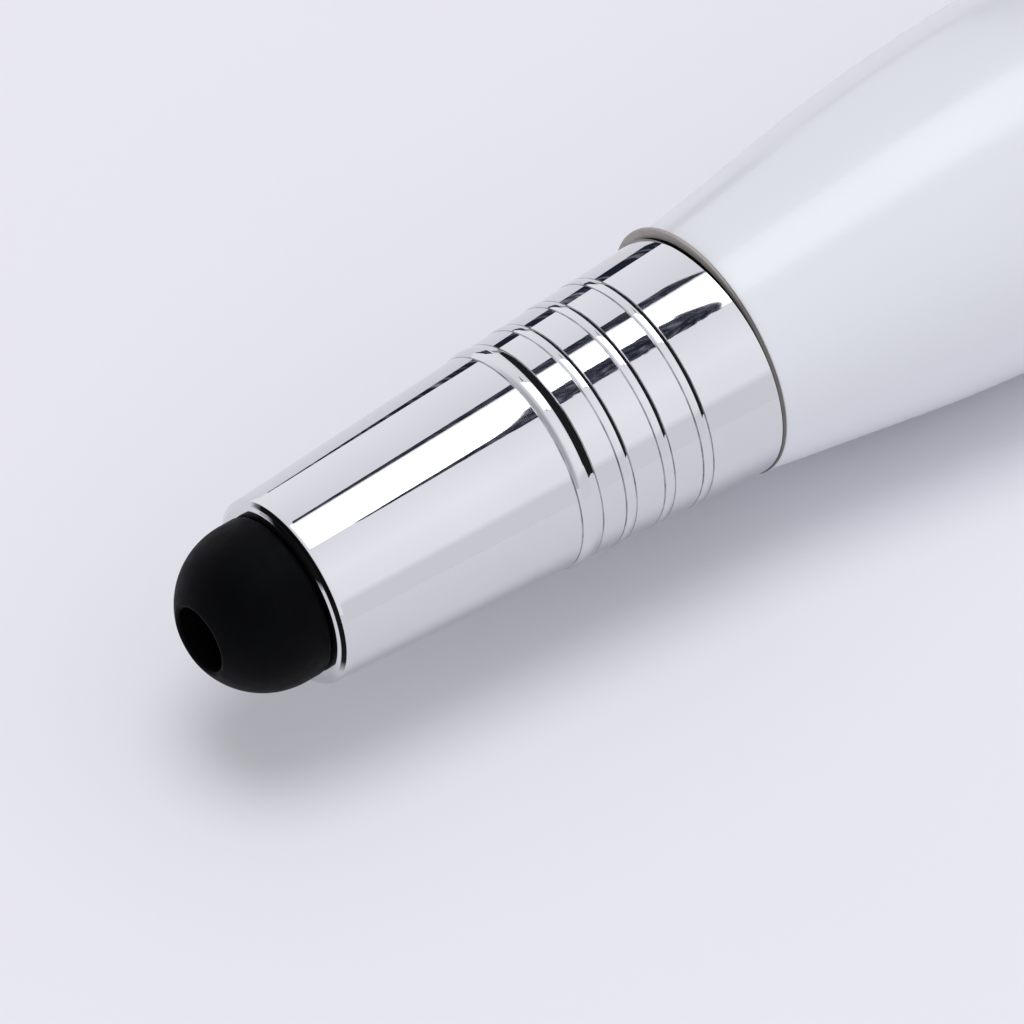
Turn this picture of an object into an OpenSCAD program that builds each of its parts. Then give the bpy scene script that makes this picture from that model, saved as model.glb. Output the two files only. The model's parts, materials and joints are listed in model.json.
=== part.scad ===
// Twist-action stylus ball pen with a flash drive under its pull-off cap.
// Stations (names ending in _s) are lengths along the pen, in millimetres, from the apex of
// the rubber dome towards the tail. The pen lies along X with its tip towards -X.

/* [Stylus tip] */
// Diameter of the rubber dome
stylus_d = 7; // [6.4:0.1:7.6]
// Length of the dome that stands out of the nose
stylus_proud = 4.3; // [4:0.05:5.5]
// Diameter of the stem that plugs into the nose
stem_d = 5.2; // [4.8:0.1:5.6]
// Length of the snap flange at the inner end of the stem
snap_len = 1.1; // [0.8:0.1:1.6]

/* [Nose cone] */
// Length of the visible cone
nose_len = 21.15; // [19:0.05:23]
// Diameter of the cone's rear edge
nose_rear_d = 10.65; // [10:0.05:11.2]
// Width of the front lip around the dome
lip_w = 0.6; // [0.5:0.025:0.9]
// Radius of the lip's outer edge
lip_round = 0.2; // [0.15:0.05:0.45]
// Thickness of the front wall that the stylus snaps into
nose_wall = 1.25; // [1:0.05:1.6]
// Bevel of the cone's rear edge
nose_bevel = 0.12; // [0.05:0.01:0.2]
// Number of raised beads around the cone
bead_count = 4; // [1:1:5]
// Distance from the front lip to the first bead
bead_first = 11.95; // [8:0.05:12.5]
// Distance from bead to bead
bead_pitch = 1.86; // [1.4:0.01:2]
// Width of the first bead
lead_bead_w = 1; // [0.5:0.05:1.2]
// Height of the first bead
lead_bead_h = 0.1; // [0.05:0.01:0.15]
// Width of each bead behind it
bead_w = 0.65; // [0.4:0.05:0.8]
// Height of each bead behind it
bead_h = 0.07; // [0.05:0.01:0.15]
// Length of the threaded spigot behind the cone
spigot_len = 8; // [6:0.5:10]
// Wall of the threaded spigot
spigot_wall = 0.75; // [0.6:0.05:1]
// Length of the brass guide that carries the point
point_guide_len = 3.1; // [2:0.1:4]

/* [Barrel] */
// Step from the cone's rear edge out to the barrel's front edge
rim_step = 0.05; // [0.025:0.025:0.3]
// Thickness of the bare metal rim between cone and barrel
rim_t = 0.25; // [0.2:0.05:0.6]
// Wall of the thread bush
bush_wall = 0.6; // [0.5:0.05:0.7]
// Wall of the barrel tubes
barrel_wall = 0.8; // [0.7:0.05:1]
// Length of the barrel's straight flare behind the rim
flare_len = 7; // [5:0.1:8.5]
// Slope of the straight flare, in degrees
flare_angle = 9; // [8:0.1:10]

/* [Refill] */
// Diameter of the refill
refill_d = 2.35; // [2.2:0.05:2.5]
// Length of the refill with its point
refill_len = 67; // [62:0.5:72]
// Depth of the retracted point behind the apex of the dome
retract_depth = 2; // [1.2:0.1:2.5]
// Wall of the refill tube
tube_wall = 0.27; // [0.2:0.01:0.35]
// Length of the metal point
point_len = 6; // [5:0.25:8]
// Length of the point's shank inside the tube
shank_len = 3; // [2:0.25:4]
// Length of the point's slim front
point_slim_len = 2.4; // [2:0.1:3]
// Diameter of the point's slim front where it meets the body
point_slim_d = 1.5; // [1.2:0.05:1.8]
// Diameter of the writing ball
ball_d = 0.7; // [0.5:0.05:0.8]
// Length of the ink column
ink_len = 46; // [30:1:52]

/* [Return spring] */
// Mean diameter of the coil
spring_d = 4; // [3.8:0.1:4.6]
// Diameter of the wire
wire_d = 0.4; // [0.3:0.05:0.5]
// Number of turns
spring_turns = 9; // [6:1:11]
// Length with the point retracted
spring_len = 12.6; // [11:0.1:16]
// Length of the collar that the spring pushes on
collar_len = 3; // [2:0.1:5]

/* [Twist action] */
// Travel of the point
point_travel = 5; // [4:0.1:6]
// Turn of the cap that gives that travel
twist_angle = 180; // [150:5:200]
// Diameter of the cross pin
pin_d = 1.2; // [1:0.05:1.4]
// Diameter of the plunger
plunger_d = 5.2; // [4.8:0.1:5.6]
// Depth of the plunger's socket for the refill
socket_depth = 5; // [3.5:0.25:6]
// Length of the plunger on each side of the cross pin
pin_margin = 2.5; // [2:0.1:4]
// Wall of the guide tube
guide_wall = 0.8; // [0.7:0.05:1]
// Thickness of the flange that holds the guide tube in the barrel
flange_t = 4; // [3:0.25:6]
// Wall of the cam sleeve
cam_wall = 1.25; // [1:0.05:1.4]
// Plain length of the cam sleeve beyond each end of its tracks
cam_land = 3; // [2:0.1:4]
// Thickness of the retaining ring
ring_t = 0.6; // [0.5:0.05:0.8]
// Height of the retaining ring above its groove
ring_w = 1.3; // [1:0.05:1.5]
// Opening of the retaining ring
ring_gap = 4; // [3:0.1:5]

/* [Hub] */
// Length of the hub's skirt inside the lower barrel
skirt_len = 10; // [8:0.5:13]
// Thickness of the hub's web
web_t = 3; // [2:0.1:4]
// Width of the centre band
band_w = 3.95; // [3:0.05:6]
// How far the centre band lies below the barrel's surface
band_sink = 0.2; // [0:0.01:0.3]
// Width of the groove around the centre band
band_groove_w = 0.5; // [0.3:0.05:0.8]
// Depth of the groove around the centre band
band_groove_h = 0.2; // [0.1:0.05:0.3]
// Length of the hub's spigot inside the cap
cap_grip_len = 7.75; // [6:0.25:12]
// Cord diameter of the grip ring around the spigot
cord_d = 0.9; // [0.7:0.05:1.1]

/* [Flash drive] */
// Width of the plug's steel shell
plug_w = 12; // [11.5:0.1:12.4]
// Height of the plug's steel shell
plug_h = 4.5; // [4.3:0.1:4.8]
// Length of the plug that stands out of its case
plug_len = 12; // [11:0.25:14]
// Sheet thickness of the shell
shell_t = 0.3; // [0.2:0.02:0.4]
// Corner radius of the shell
shell_round = 0.6; // [0.4:0.05:0.9]
// Length of the shell's neck inside the case
neck_len = 3.8; // [3:0.1:5]
// Step from the shell in to its neck
neck_step = 0.5; // [0.4:0.05:0.8]
// Length of the case
case_len = 25; // [23:0.5:32]
// Thickness of the case across its flats
case_t = 6.8; // [6.4:0.1:8]
// Wall of the case around its pocket
case_wall = 0.9; // [0.7:0.05:1.1]
// Length of the case's end walls
case_end = 2; // [1.5:0.1:3]
// Diameter of the case's stub inside the hub
stub_d = 9.9; // [8:0.1:10.2]
// Width of the circuit board
board_w = 11; // [10:0.1:11.2]
// Thickness of the circuit board
board_t = 0.8; // [0.6:0.05:1]
// Side of the square memory chip
memory_w = 9; // [7:0.1:9.1]
// Side of the square controller chip
controller_w = 5; // [4:0.1:5.2]
// Height of the chips
chip_h = 0.9; // [0.7:0.05:1.2]
// Length of the crystal's can along the pen
crystal_len = 3.2; // [2.5:0.1:4]
// Width of the crystal's can
crystal_w = 2.5; // [2:0.1:3]
// Height of the crystal's can
crystal_h = 0.8; // [0.6:0.05:1.2]
// Length of a small part on the board along the pen
passive_len = 0.6; // [0.4:0.05:0.8]
// Width of a small part on the board
passive_w = 1; // [0.6:0.05:1.6]
// Height of a small part on the board
passive_h = 0.4; // [0.3:0.05:0.8]
// Number of small parts in a row
passive_count = 6; // [2:1:8]
// Distance from small part to small part
passive_pitch = 1.6; // [1.3:0.1:1.9]
// Width of a contact strip
contact_w = 1; // [0.8:0.05:1.2]
// Thickness of a contact strip
contact_t = 0.15; // [0.1:0.01:0.2]
// Place of the inner contact strips to each side of the middle
contact_inner = 1; // [0.9:0.05:1.2]
// Place of the outer contact strips to each side of the middle
contact_outer = 3.5; // [3:0.05:3.8]
// Length of a window in the shell
window_len = 2; // [1.5:0.1:2.5]
// Width of a window in the shell
window_w = 2.5; // [2:0.1:2.8]
// Distance from the plug's end to the middle of the windows
window_back = 6.2; // [4:0.1:8]
// Place of the windows to each side of the middle
window_side = 2.9; // [2.4:0.1:3.4]

/* [Cap] */
// Free length inside the cap beyond the plug
cap_spare = 6; // [5.2:0.1:9]
// Diameter of the cap's tail edge
tail_d = 12.4; // [11.6:0.1:13]
// Length over which the cap narrows to its tail
taper_len = 18; // [12:0.5:24]
// Length of the tail plug's seat
seat_len = 5; // [4:0.1:7]
// Length of the finial behind the cap
finial_len = 7; // [5:0.1:9]
// Width of the finial's straight base
finial_base = 1.2; // [0.8:0.1:2]
// Width of the groove in front of the finial's dome
finial_groove = 0.4; // [0.2:0.05:0.6]
// Diameter of the finial's threaded stud
stud_d = 4; // [3:0.1:5]
// Length of the finial's threaded stud
stud_len = 4.4; // [3:0.1:4.8]

/* [Pocket clip] */
// Length of the clip
clip_len = 37; // [28:0.5:44]
// Width of the clip at its root
clip_w = 3.6; // [3:0.1:4.4]
// Width of the clip at its tip
clip_tip_w = 3; // [2.4:0.1:3.6]
// Thickness of the spring steel
clip_t = 0.8; // [0.6:0.05:1]
// Gap between the clip and the cap
clip_gap = 1.3; // [1:0.05:1.6]
// Inner radius of the bend at the root
clip_bend = 1; // [0.6:0.05:1.2]
// Distance from the cap's tail edge to the clip's foot
clip_inset = 2.2; // [1.6:0.1:3]
// Depth of the clip's foot below the cap's surface
foot_depth = 2.2; // [1.4:0.1:2.6]
// Radius of the rounded bead under the clip's tip
nub_r = 1; // [0.9:0.05:1.2]

/* [Fits] */
// Clearance of faces that run on each other
run_gap = 0.08; // [0.05:0.01:0.1]
// Clearance of faces that are glued, pressed or screwed together
glue_gap = 0.05; // [0.02:0.01:0.08]
// Axial gap beside turning faces
side_gap = 0.15; // [0.1:0.01:0.3]
// Clearance around the refill in the dome
hole_gap = 0.225; // [0.15:0.025:0.3]
// Clearance around the writing ball in its seat
ball_gap = 0.02; // [0.01:0.005:0.04]
// Clearance around the plug inside the cap
plug_gap = 0.292; // [0.2:0.01:0.5]
// Clearance around the clip's foot and under its nub
clip_clear = 0.25; // [0.2:0.01:0.4]

/* [Hidden] */
$fn = 96;
fine_fn = 256;
over = 1;

// Girths that follow from the plug: the cap's bore clears the plug's corners.
bore_r = norm([plug_w, plug_h]) / 2 + plug_gap;
belly_r = bore_r + barrel_wall;

// Nose and stylus
stylus_r = stylus_d / 2;
hole_r = refill_d / 2 + hole_gap;
dome_front_s = stylus_r - sqrt(stylus_r * stylus_r - hole_r * hole_r);
nose_s = stylus_proud;
rim_s = nose_s + nose_len;
barrel_s = rim_s + rim_t;
nose_front_r = stylus_r + lip_w;
nose_rear_r = nose_rear_d / 2;
barrel_front_r = nose_rear_r + rim_step;
bush_r = barrel_front_r - barrel_wall;
bush_bore_r = bush_r - bush_wall;
spigot_r = bush_bore_r - glue_gap;
spigot_end_s = rim_s + spigot_len;
bush_end_s = spigot_end_s + rim_t;
nose_bore_r = spigot_r - spigot_wall;
lip_s = nose_s + lip_round;
lip_mid_r = cone_r(lip_s) - lip_round;
wall_end_s = nose_s + nose_wall;
snap_s = wall_end_s + glue_gap;
snap_end_s = snap_s + snap_len;

// Refill, guide and spring
refill_r = refill_d / 2;
tube_bore_r = refill_r - tube_wall;
refill_end_s = retract_depth + refill_len;
ball_r = ball_d / 2;
ball_s = retract_depth + ball_r;
ball_lip = ball_r / 3;
point_s = ball_s - ball_lip;
slim_end_s = retract_depth + point_slim_len;
shoulder_s = slim_end_s + refill_r - point_slim_d / 2;
tube_s = retract_depth + point_len;
shank_end_s = tube_s + shank_len;
point_guide_s = snap_end_s + glue_gap;
point_guide_end_s = point_guide_s + point_guide_len;
spring_r = spring_d / 2;
collar_s = point_guide_end_s + spring_len;
collar_r = spring_r + wire_d;
spring_steps = 12;
spring_sides = 6;

// Twist action
plunger_r = plunger_d / 2;
plunger_s = refill_end_s - socket_depth;
pin_r = pin_d / 2;
pin_s = refill_end_s + pin_margin;
plunger_end_s = pin_s + pin_margin;
guide_bore_r = plunger_r + run_gap;
guide_r = guide_bore_r + guide_wall;
cam_bore_r = guide_r + run_gap;
cam_r = cam_bore_r + cam_wall;
track_reach = pin_r + side_gap;
track_s = pin_s - point_travel - track_reach;
track_end_s = pin_s + track_reach;
track_rate = twist_angle / point_travel;
track_slices = 20;
track_half_angle = track_reach * norm([1, track_rate * PI / 180 * cam_bore_r]) / cam_bore_r * 180 / PI;
cam_s = track_s - cam_land;
cam_end_s = track_end_s + cam_land;
flange_end_s = cam_s - side_gap;
guide_s = flange_end_s - flange_t;
ring_s = cam_end_s + side_gap;
groove_end_s = ring_s + ring_t + glue_gap;
groove_r = guide_r - guide_wall / 2;
guide_end_s = groove_end_s + ring_t;
hub_bore_r = cam_r + glue_gap;
hub_r = bore_r - run_gap;
web_s = guide_end_s + side_gap;
web_end_s = web_s + web_t;
seam_s = cam_end_s + ring_t;

// Lower barrel
flare_end_s = barrel_s + flare_len;
flare_end_r = barrel_front_r + flare_len * tan(flare_angle);
swell_round = (belly_r - flare_end_r) / (1 - cos(flare_angle));
belly_s = flare_end_s + swell_round * sin(flare_angle);
bore_s = min(belly_s, guide_s - over);

// Hub, band and drive
skirt_s = seam_s - skirt_len;
band_s = seam_s + side_gap;
band_end_s = band_s + band_w;
band_r = belly_r - band_sink;
cap_s = band_end_s + side_gap;
hub_end_s = cap_s + cap_grip_len;
cord_r = cord_d / 2;
cord_mid_r = bore_r - run_gap / 2 - cord_r;
cord_s = (cap_s + hub_end_s) / 2;
stub_r = stub_d / 2;
case_r = hub_r - run_gap;
case_s = hub_end_s + glue_gap;
case_end_s = case_s + case_len;
pocket_s = case_s + case_end;
pocket_end_s = case_end_s - case_end;
pocket_half_h = case_t / 2 - case_wall;
neck_s = case_end_s - neck_len;
neck_w = plug_w - 2 * neck_step;
neck_h = plug_h - 2 * neck_step;
plug_end_s = case_end_s + plug_len;
board_top = glue_gap;
board_bottom = board_top + board_t;
board_s = pocket_s + glue_gap;
board_end_s = neck_s - glue_gap;
chip_space = (board_end_s - 2 * contact_w - board_s - memory_w - controller_w) / 3;
memory_s = board_s + chip_space;
controller_s = memory_s + memory_w + chip_space;

// Cap, tail and clip
taper_rise = belly_r - tail_d / 2;
bore_end_s = plug_end_s + over;
seat_s = plug_end_s + cap_spare;
cap_end_s = seat_s + seat_len;
taper_s = cap_end_s - taper_len;
taper_round = (taper_len * taper_len + taper_rise * taper_rise) / (2 * taper_rise);
seat_r = tail_d / 2 - barrel_wall;
stud_r = stud_d / 2;
tail_end_s = cap_end_s + finial_len;
dome_s = cap_end_s + finial_base + finial_groove;
dome_h = tail_end_s - dome_s;
dome_r = tail_d / 2 - finial_groove / 2;
dome_round = (dome_r * dome_r + dome_h * dome_h) / (2 * dome_h);
foot_s = cap_end_s - clip_inset;
cap_skin_r = belly_r - taper_round + sqrt(pow(taper_round, 2) - pow(foot_s - taper_s, 2));
foot_r = cap_skin_r - foot_depth;
arm_r = belly_r + clip_gap;
arm_out_r = arm_r + clip_t;
bend_s = foot_s - clip_t / 2 - clip_bend;
tip_s = foot_s - clip_len;
tip_round = clip_tip_w / 2;

// The pen lies on its belly and on one corner of the clip, which stops it from rolling.
clip_roll = asin(belly_r / norm([arm_out_r, clip_w / 2])) - atan(clip_w / 2 / arm_out_r);

// Half-way along the pen
mid_s = (dome_front_s + tail_end_s) / 2;

function cone_r(s) = nose_front_r + (nose_rear_r - nose_front_r) * (s - nose_s) / nose_len;

// Turns a shape built along the stations into the lying pen.
module pen() translate([-mid_s, 0, belly_r]) rotate([0, 90, 0]) children();

// Half-section of a tube between two stations
module band(inner_r, outer_r, from_s, to_s)
    translate([inner_r, from_s]) square([outer_r - inner_r, to_s - from_s]);

// Half-section under an arc that is level at crest_s
module arc_band(crest_r, crest_s, round, from_s, to_s)
    intersection() {
        translate([crest_r - round, crest_s]) circle(round, $fn = fine_fn);
        band(0, crest_r, from_s, to_s);
    }

module tube(inner_r, outer_r, from_s, to_s)
    rotate_extrude() band(inner_r, outer_r, from_s, to_s);

// Block centred on the pen: lowest and highest depth below the axis, full width, stations
module block(low, high, width, from_s, to_s)
    translate([low, -width / 2, from_s]) cube([high - low, width, to_s - from_s]);

// Rounded rectangle, height along x and width along y
module rounded(height, width, round) {
    square([height - 2 * round, width], center = true);
    square([height, width - 2 * round], center = true);
    for (x = [-1, 1], y = [-1, 1])
        translate([x * (height / 2 - round), y * (width / 2 - round)]) circle(round);
}

module sheet_tube(height, width, from_s, to_s)
    translate([0, 0, from_s]) linear_extrude(to_s - from_s) difference() {
        rounded(height, width, shell_round);
        rounded(height - 2 * shell_t, width - 2 * shell_t, shell_round - shell_t / 2);
    }

// Soft rubber dome with a hole for the point, snapped into the nose by its stem
module stylus_tip() color("#202022") pen() rotate_extrude() difference() {
    union() {
        intersection() {
            translate([0, stylus_r]) circle(stylus_r);
            square(stylus_r);
        }
        band(0, stylus_r, stylus_r, nose_s);
        band(0, stem_d / 2, nose_s, snap_s);
        band(0, nose_bore_r - glue_gap, snap_s, snap_end_s);
    }
    band(0, hole_r, -over, snap_end_s + over);
}

// Chromed cone with its beads, screwed into the barrel by the spigot
module nose_cone() color("#d8d9dc") pen() rotate_extrude() difference() {
    union() {
        polygon([
            [0, lip_s],
            [cone_r(lip_s), lip_s],
            [cone_r(rim_s - nose_bevel), rim_s - nose_bevel],
            [nose_rear_r - nose_bevel, rim_s],
            [0, rim_s]
        ]);
        band(0, lip_mid_r, nose_s, lip_s);
        translate([lip_mid_r, lip_s]) circle(lip_round);
        bead(nose_s + bead_first, lead_bead_w, lead_bead_h);
        for (i = [1:1:bead_count - 1]) bead(nose_s + bead_first + i * bead_pitch, bead_w, bead_h);
        band(0, spigot_r, rim_s, spigot_end_s);
    }
    band(0, stem_d / 2 + glue_gap, nose_s - over, wall_end_s);
    band(0, nose_bore_r, wall_end_s, spigot_end_s + over);
}

// Half-section of a bead: the outer part of a circle that passes through both its edges
module bead(at_s, w, h) {
    round = (w * w / 4 + h * h) / (2 * h);
    translate([cone_r(at_s) + h - round, at_s]) circle(round);
}

// Brass ferrule that guides the refill and carries the front of the spring
module point_guide() color("#b9975b") pen()
    tube(refill_r + run_gap, nose_bore_r - glue_gap, point_guide_s, point_guide_end_s);

// Thread bush whose flange shows as the bare rim between cone and barrel
module front_bush() color("#a08d78") pen() rotate_extrude() {
    band(bush_bore_r, bush_r - glue_gap, barrel_s, bush_end_s);
    band(bush_bore_r, barrel_front_r, rim_s, barrel_s);
}

// Half-section of the barrel's front: a straight flare that runs into an arc, level at belly_s
module swell(crest_r, round) {
    arc_s = belly_s - round * sin(flare_angle);
    arc_r = crest_r - round * (1 - cos(flare_angle));
    front_r = arc_r - (arc_s - barrel_s) * tan(flare_angle);
    polygon([[0, barrel_s], [front_r, barrel_s], [arc_r, arc_s], [0, arc_s]]);
    arc_band(crest_r, belly_s, round, arc_s, belly_s);
}

module lower_barrel() color("#f4f4f6") pen() rotate_extrude() difference() {
    union() {
        swell(belly_r, swell_round);
        band(0, belly_r, belly_s, seam_s);
    }
    band(0, bush_r, barrel_s - over, bush_end_s);
    intersection() {
        swell(bore_r, swell_round - barrel_wall);
        band(0, bore_r, bush_end_s, belly_s);
    }
    band(0, bore_r, bore_s, seam_s + over);
}

// Fixed tube whose two straight slots keep the cross pin from turning
module guide_tube() color("#e8e4d8") pen() difference() {
    rotate_extrude() difference() {
        union() {
            band(guide_bore_r, guide_r, guide_s, guide_end_s);
            band(guide_bore_r, bore_r - glue_gap, guide_s, flange_end_s);
        }
        band(groove_r, guide_r + over, ring_s - glue_gap, groove_end_s);
    }
    translate([-pin_r - run_gap, -guide_r - over, track_s])
        cube([pin_d + 2 * run_gap, 2 * (guide_r + over), track_end_s - track_s]);
}

// Open ring in the guide tube's groove, which keeps the cam sleeve in place
module retaining_ring() color("#8d9096") pen() difference() {
    tube(groove_r + glue_gap, groove_r + ring_w, ring_s, ring_s + ring_t);
    block(0, groove_r + ring_w + over, ring_gap, ring_s - over, ring_s + ring_t + over);
}

function coil_angle(t) = 360 * t;
function coil_middle(t) = [
    spring_r * cos(coil_angle(t)),
    spring_r * sin(coil_angle(t)),
    point_guide_end_s + glue_gap + wire_d / 2
        + (spring_len - wire_d - 2 * glue_gap) * t / spring_turns
];

// The wire's section stands upright on the coil's radius.
function coil_point(t, side) = coil_middle(t) + wire_d / 2 * [
    cos(side) * cos(coil_angle(t)),
    cos(side) * sin(coil_angle(t)),
    sin(side)
];

// Coil spring that pushes the refill back
module return_spring() {
    last = spring_turns * spring_steps;
    points = [
        for (i = [0:last], k = [0:spring_sides - 1])
            coil_point(i / spring_steps, 360 * k / spring_sides)
    ];
    walls = [
        for (i = [0:last - 1], k = [0:spring_sides - 1])
            let (
                a = i * spring_sides + k,
                b = i * spring_sides + (k + 1) % spring_sides,
                c = b + spring_sides,
                d = a + spring_sides
            )
            each [[a, b, c], [a, c, d]]
    ];
    first_end = [for (k = [1:spring_sides - 2]) [0, k + 1, k]];
    top = last * spring_sides;
    last_end = [for (k = [1:spring_sides - 2]) [top, top + k, top + k + 1]];
    color("#9a9da3") pen() polyhedron(points, concat(walls, first_end, last_end));
}

// Metal point with the ball's seat at its front
module refill_point() color("#c9c5b8") pen() difference() {
    rotate_extrude() {
        polygon([
            [0, point_s],
            [ball_r + ball_gap, point_s],
            [point_slim_d / 2, slim_end_s],
            [refill_r, shoulder_s],
            [refill_r, tube_s],
            [0, tube_s]
        ]);
        band(0, tube_bore_r - glue_gap, tube_s, shank_end_s);
    }
    translate([0, 0, ball_s]) sphere(ball_r + ball_gap);
}

module writing_ball() color("#77797e") pen() translate([0, 0, ball_s]) sphere(ball_r);

module refill_tube() color("#c8a25a") pen() tube(tube_bore_r, refill_r, tube_s, refill_end_s);

module ink_column() color("#1a2a6c") pen()
    tube(0, tube_bore_r - glue_gap, shank_end_s + glue_gap, shank_end_s + ink_len);

module spring_collar() color("#e8e4d8") pen()
    tube(refill_r + glue_gap, collar_r, collar_s, collar_s + collar_len);

// Socket for the refill's tail, drilled across for the pin
module plunger() color("#3a3c42") pen() difference() {
    tube(0, plunger_r, plunger_s, plunger_end_s);
    tube(0, refill_r + glue_gap, plunger_s - over, refill_end_s + glue_gap);
    cross_hole(pin_r + glue_gap, plunger_r + over);
}

module cross_hole(radius, reach)
    translate([0, 0, pin_s]) rotate([90, 0, 0]) cylinder(2 * reach, r = radius, center = true);

module cross_pin() color("#b4b7bc") pen() cross_hole(pin_r, cam_r - glue_gap);

// Room for one end of the cross pin as it climbs the cam
module cam_track() {
    near_r = cam_bore_r * cos(track_half_angle) - run_gap;
    far_r = cam_r / cos(track_half_angle / 2) + run_gap;
    reach_angle = track_reach * track_rate;
    translate([0, 0, track_s])
        rotate(90 - twist_angle - reach_angle)
            linear_extrude(track_end_s - track_s, twist = -twist_angle - 2 * reach_angle,
                slices = track_slices, segments = 5)
                polygon([
                    for (a = [-1, 0, 1]) far_r * [cos(a * track_half_angle), sin(a * track_half_angle)],
                    for (a = [1, -1]) near_r * [cos(a * track_half_angle), sin(a * track_half_angle)]
                ]);
}

// Sleeve turned by the hub, with a rising track for each end of the cross pin
module cam_sleeve() color("#4a4d55") pen() difference() {
    tube(cam_bore_r, cam_r, cam_s, cam_end_s);
    for (side = [0, 180]) rotate(side) cam_track();
}

// Carries the cam sleeve, the centre band and the drive, and runs in the lower barrel
module drive_hub() color("#b9975b") pen() rotate_extrude() difference() {
    band(0, hub_r, skirt_s, hub_end_s);
    band(0, hub_bore_r, skirt_s - over, web_s);
    band(0, stub_r + glue_gap, web_end_s, hub_end_s + over);
    band(cord_mid_r - cord_r, hub_r + over, cord_s - cord_r - glue_gap, cord_s + cord_r + glue_gap);
}

module centre_band() color("#d8d9dc") pen() rotate_extrude() difference() {
    band(hub_r + glue_gap, band_r, band_s, band_end_s);
    band(band_r - band_groove_h, band_r + over,
        (band_s + band_end_s - band_groove_w) / 2, (band_s + band_end_s + band_groove_w) / 2);
}

// Rubber ring that holds the cap by friction
module grip_ring() color("#202022") pen() rotate_extrude() translate([cord_mid_r, cord_s]) circle(cord_r);

// The drive's case before it is split: flat-sided body, round stub, pocket and mouth
module drive_case() difference() {
    union() {
        intersection() {
            tube(0, case_r, case_s, case_end_s);
            block(-case_t / 2, case_t / 2, 2 * case_r + over, case_s, case_end_s);
        }
        tube(0, stub_r, web_end_s + glue_gap, case_s);
    }
    block(-pocket_half_h, pocket_half_h, board_w - 2 * case_wall, pocket_s, pocket_end_s);
    block(0, board_bottom + glue_gap, board_w + 2 * glue_gap, pocket_s, pocket_end_s);
    block(-neck_h / 2 - glue_gap, neck_h / 2 + glue_gap, neck_w + 2 * glue_gap,
        neck_s - glue_gap, case_end_s + over);
}

module case_top() color("#2b2d31") pen() intersection() {
    drive_case();
    block(-case_t, 0, 4 * case_r, web_s, plug_end_s);
}

module case_bottom() color("#2b2d31") pen() intersection() {
    drive_case();
    block(0, case_t, 4 * case_r, web_s, plug_end_s);
}

module circuit_board() color("#1f6b45") pen() block(board_top, board_bottom, board_w, board_s, board_end_s);

module memory_chip() color("#26272a") pen()
    block(board_top - chip_h, board_top, memory_w, memory_s, memory_s + memory_w);

module controller_chip() color("#26272a") pen()
    block(board_top - chip_h, board_top, controller_w, controller_s, controller_s + controller_w);

// Metal can on the underside of the board
module crystal() color("#c6c9ce") pen()
    block(board_bottom, board_bottom + crystal_h, crystal_w, controller_s, controller_s + crystal_len);

// Two rows of small ceramic parts on the underside of the board
module board_passives() color("#b08f68") pen()
    for (i = [0:passive_count - 1], side = [-1, 1])
        translate([0, side * memory_w / 4, 0])
            block(board_bottom, board_bottom + passive_h, passive_w,
                memory_s + i * passive_pitch, memory_s + i * passive_pitch + passive_len);

// Folded steel plug with four windows, stepped in to a neck that the case holds
module usb_shell() color("#c4c7cc") pen() difference() {
    union() {
        sheet_tube(plug_h, plug_w, case_end_s + glue_gap, plug_end_s);
        sheet_tube(neck_h, neck_w, neck_s, case_end_s + glue_gap + shell_t);
        translate([0, 0, case_end_s + glue_gap]) linear_extrude(shell_t) difference() {
            rounded(plug_h, plug_w, shell_round);
            rounded(neck_h - shell_t, neck_w - shell_t, shell_round - shell_t / 2);
        }
    }
    for (side = [-1, 1])
        translate([0, side * window_side, 0])
            block(-plug_h, plug_h, window_w,
                plug_end_s - window_back - window_len / 2, plug_end_s - window_back + window_len / 2);
}

// Moulded tongue that fills the lower half of the plug
module usb_insert() color("#f0f0ee") pen() {
    block(board_top, plug_h / 2 - shell_t - glue_gap, plug_w - 2 * shell_round - 2 * shell_t,
        case_end_s + 2 * shell_t, plug_end_s - shell_t);
    block(board_top, neck_h / 2 - shell_t - glue_gap, neck_w - 2 * shell_round - 2 * shell_t,
        neck_s, case_end_s + 2 * shell_t);
}

module usb_contacts() color("#d8b45a") pen()
    for (y = [-contact_outer, -contact_inner, contact_inner, contact_outer])
        translate([0, y, 0])
            block(board_top - contact_t, board_top, contact_w,
                board_end_s - contact_w, plug_end_s - contact_w);

// Cap: straight over the drive, narrowing to the tail, with a slot for the clip's foot
module upper_barrel() color("#f4f4f6") pen() difference() {
    rotate_extrude() difference() {
        union() {
            band(0, belly_r, cap_s, taper_s);
            arc_band(belly_r, taper_s, taper_round, taper_s, cap_end_s);
        }
        band(0, bore_r, cap_s - over, bore_end_s);
        polygon([[0, bore_end_s], [bore_r, bore_end_s], [seat_r, seat_s], [0, seat_s]]);
        band(0, seat_r, seat_s, cap_end_s + over);
    }
    clip_slot();
}

module clip_slot() rotate(clip_roll - 90)
    block(foot_r - clip_clear, belly_r + over, clip_w + 2 * clip_clear,
        foot_s - clip_t / 2 - clip_clear, foot_s + clip_t / 2 + clip_clear);

// Brass plug in the tail that takes the finial's stud and traps the clip's foot
module tail_plug() color("#b9975b") pen() difference() {
    tube(stud_r + glue_gap, seat_r - glue_gap, seat_s, cap_end_s);
    clip_slot();
}

module finial() color("#d8d9dc") pen() rotate_extrude() {
    band(0, stud_r, cap_end_s - stud_len, cap_end_s);
    band(0, tail_d / 2, cap_end_s, cap_end_s + finial_base);
    band(0, dome_r - finial_groove, cap_end_s + finial_base, dome_s);
    intersection() {
        translate([0, tail_end_s - dome_round]) circle(dome_round);
        band(0, dome_r, dome_s, tail_end_s);
    }
}

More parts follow.
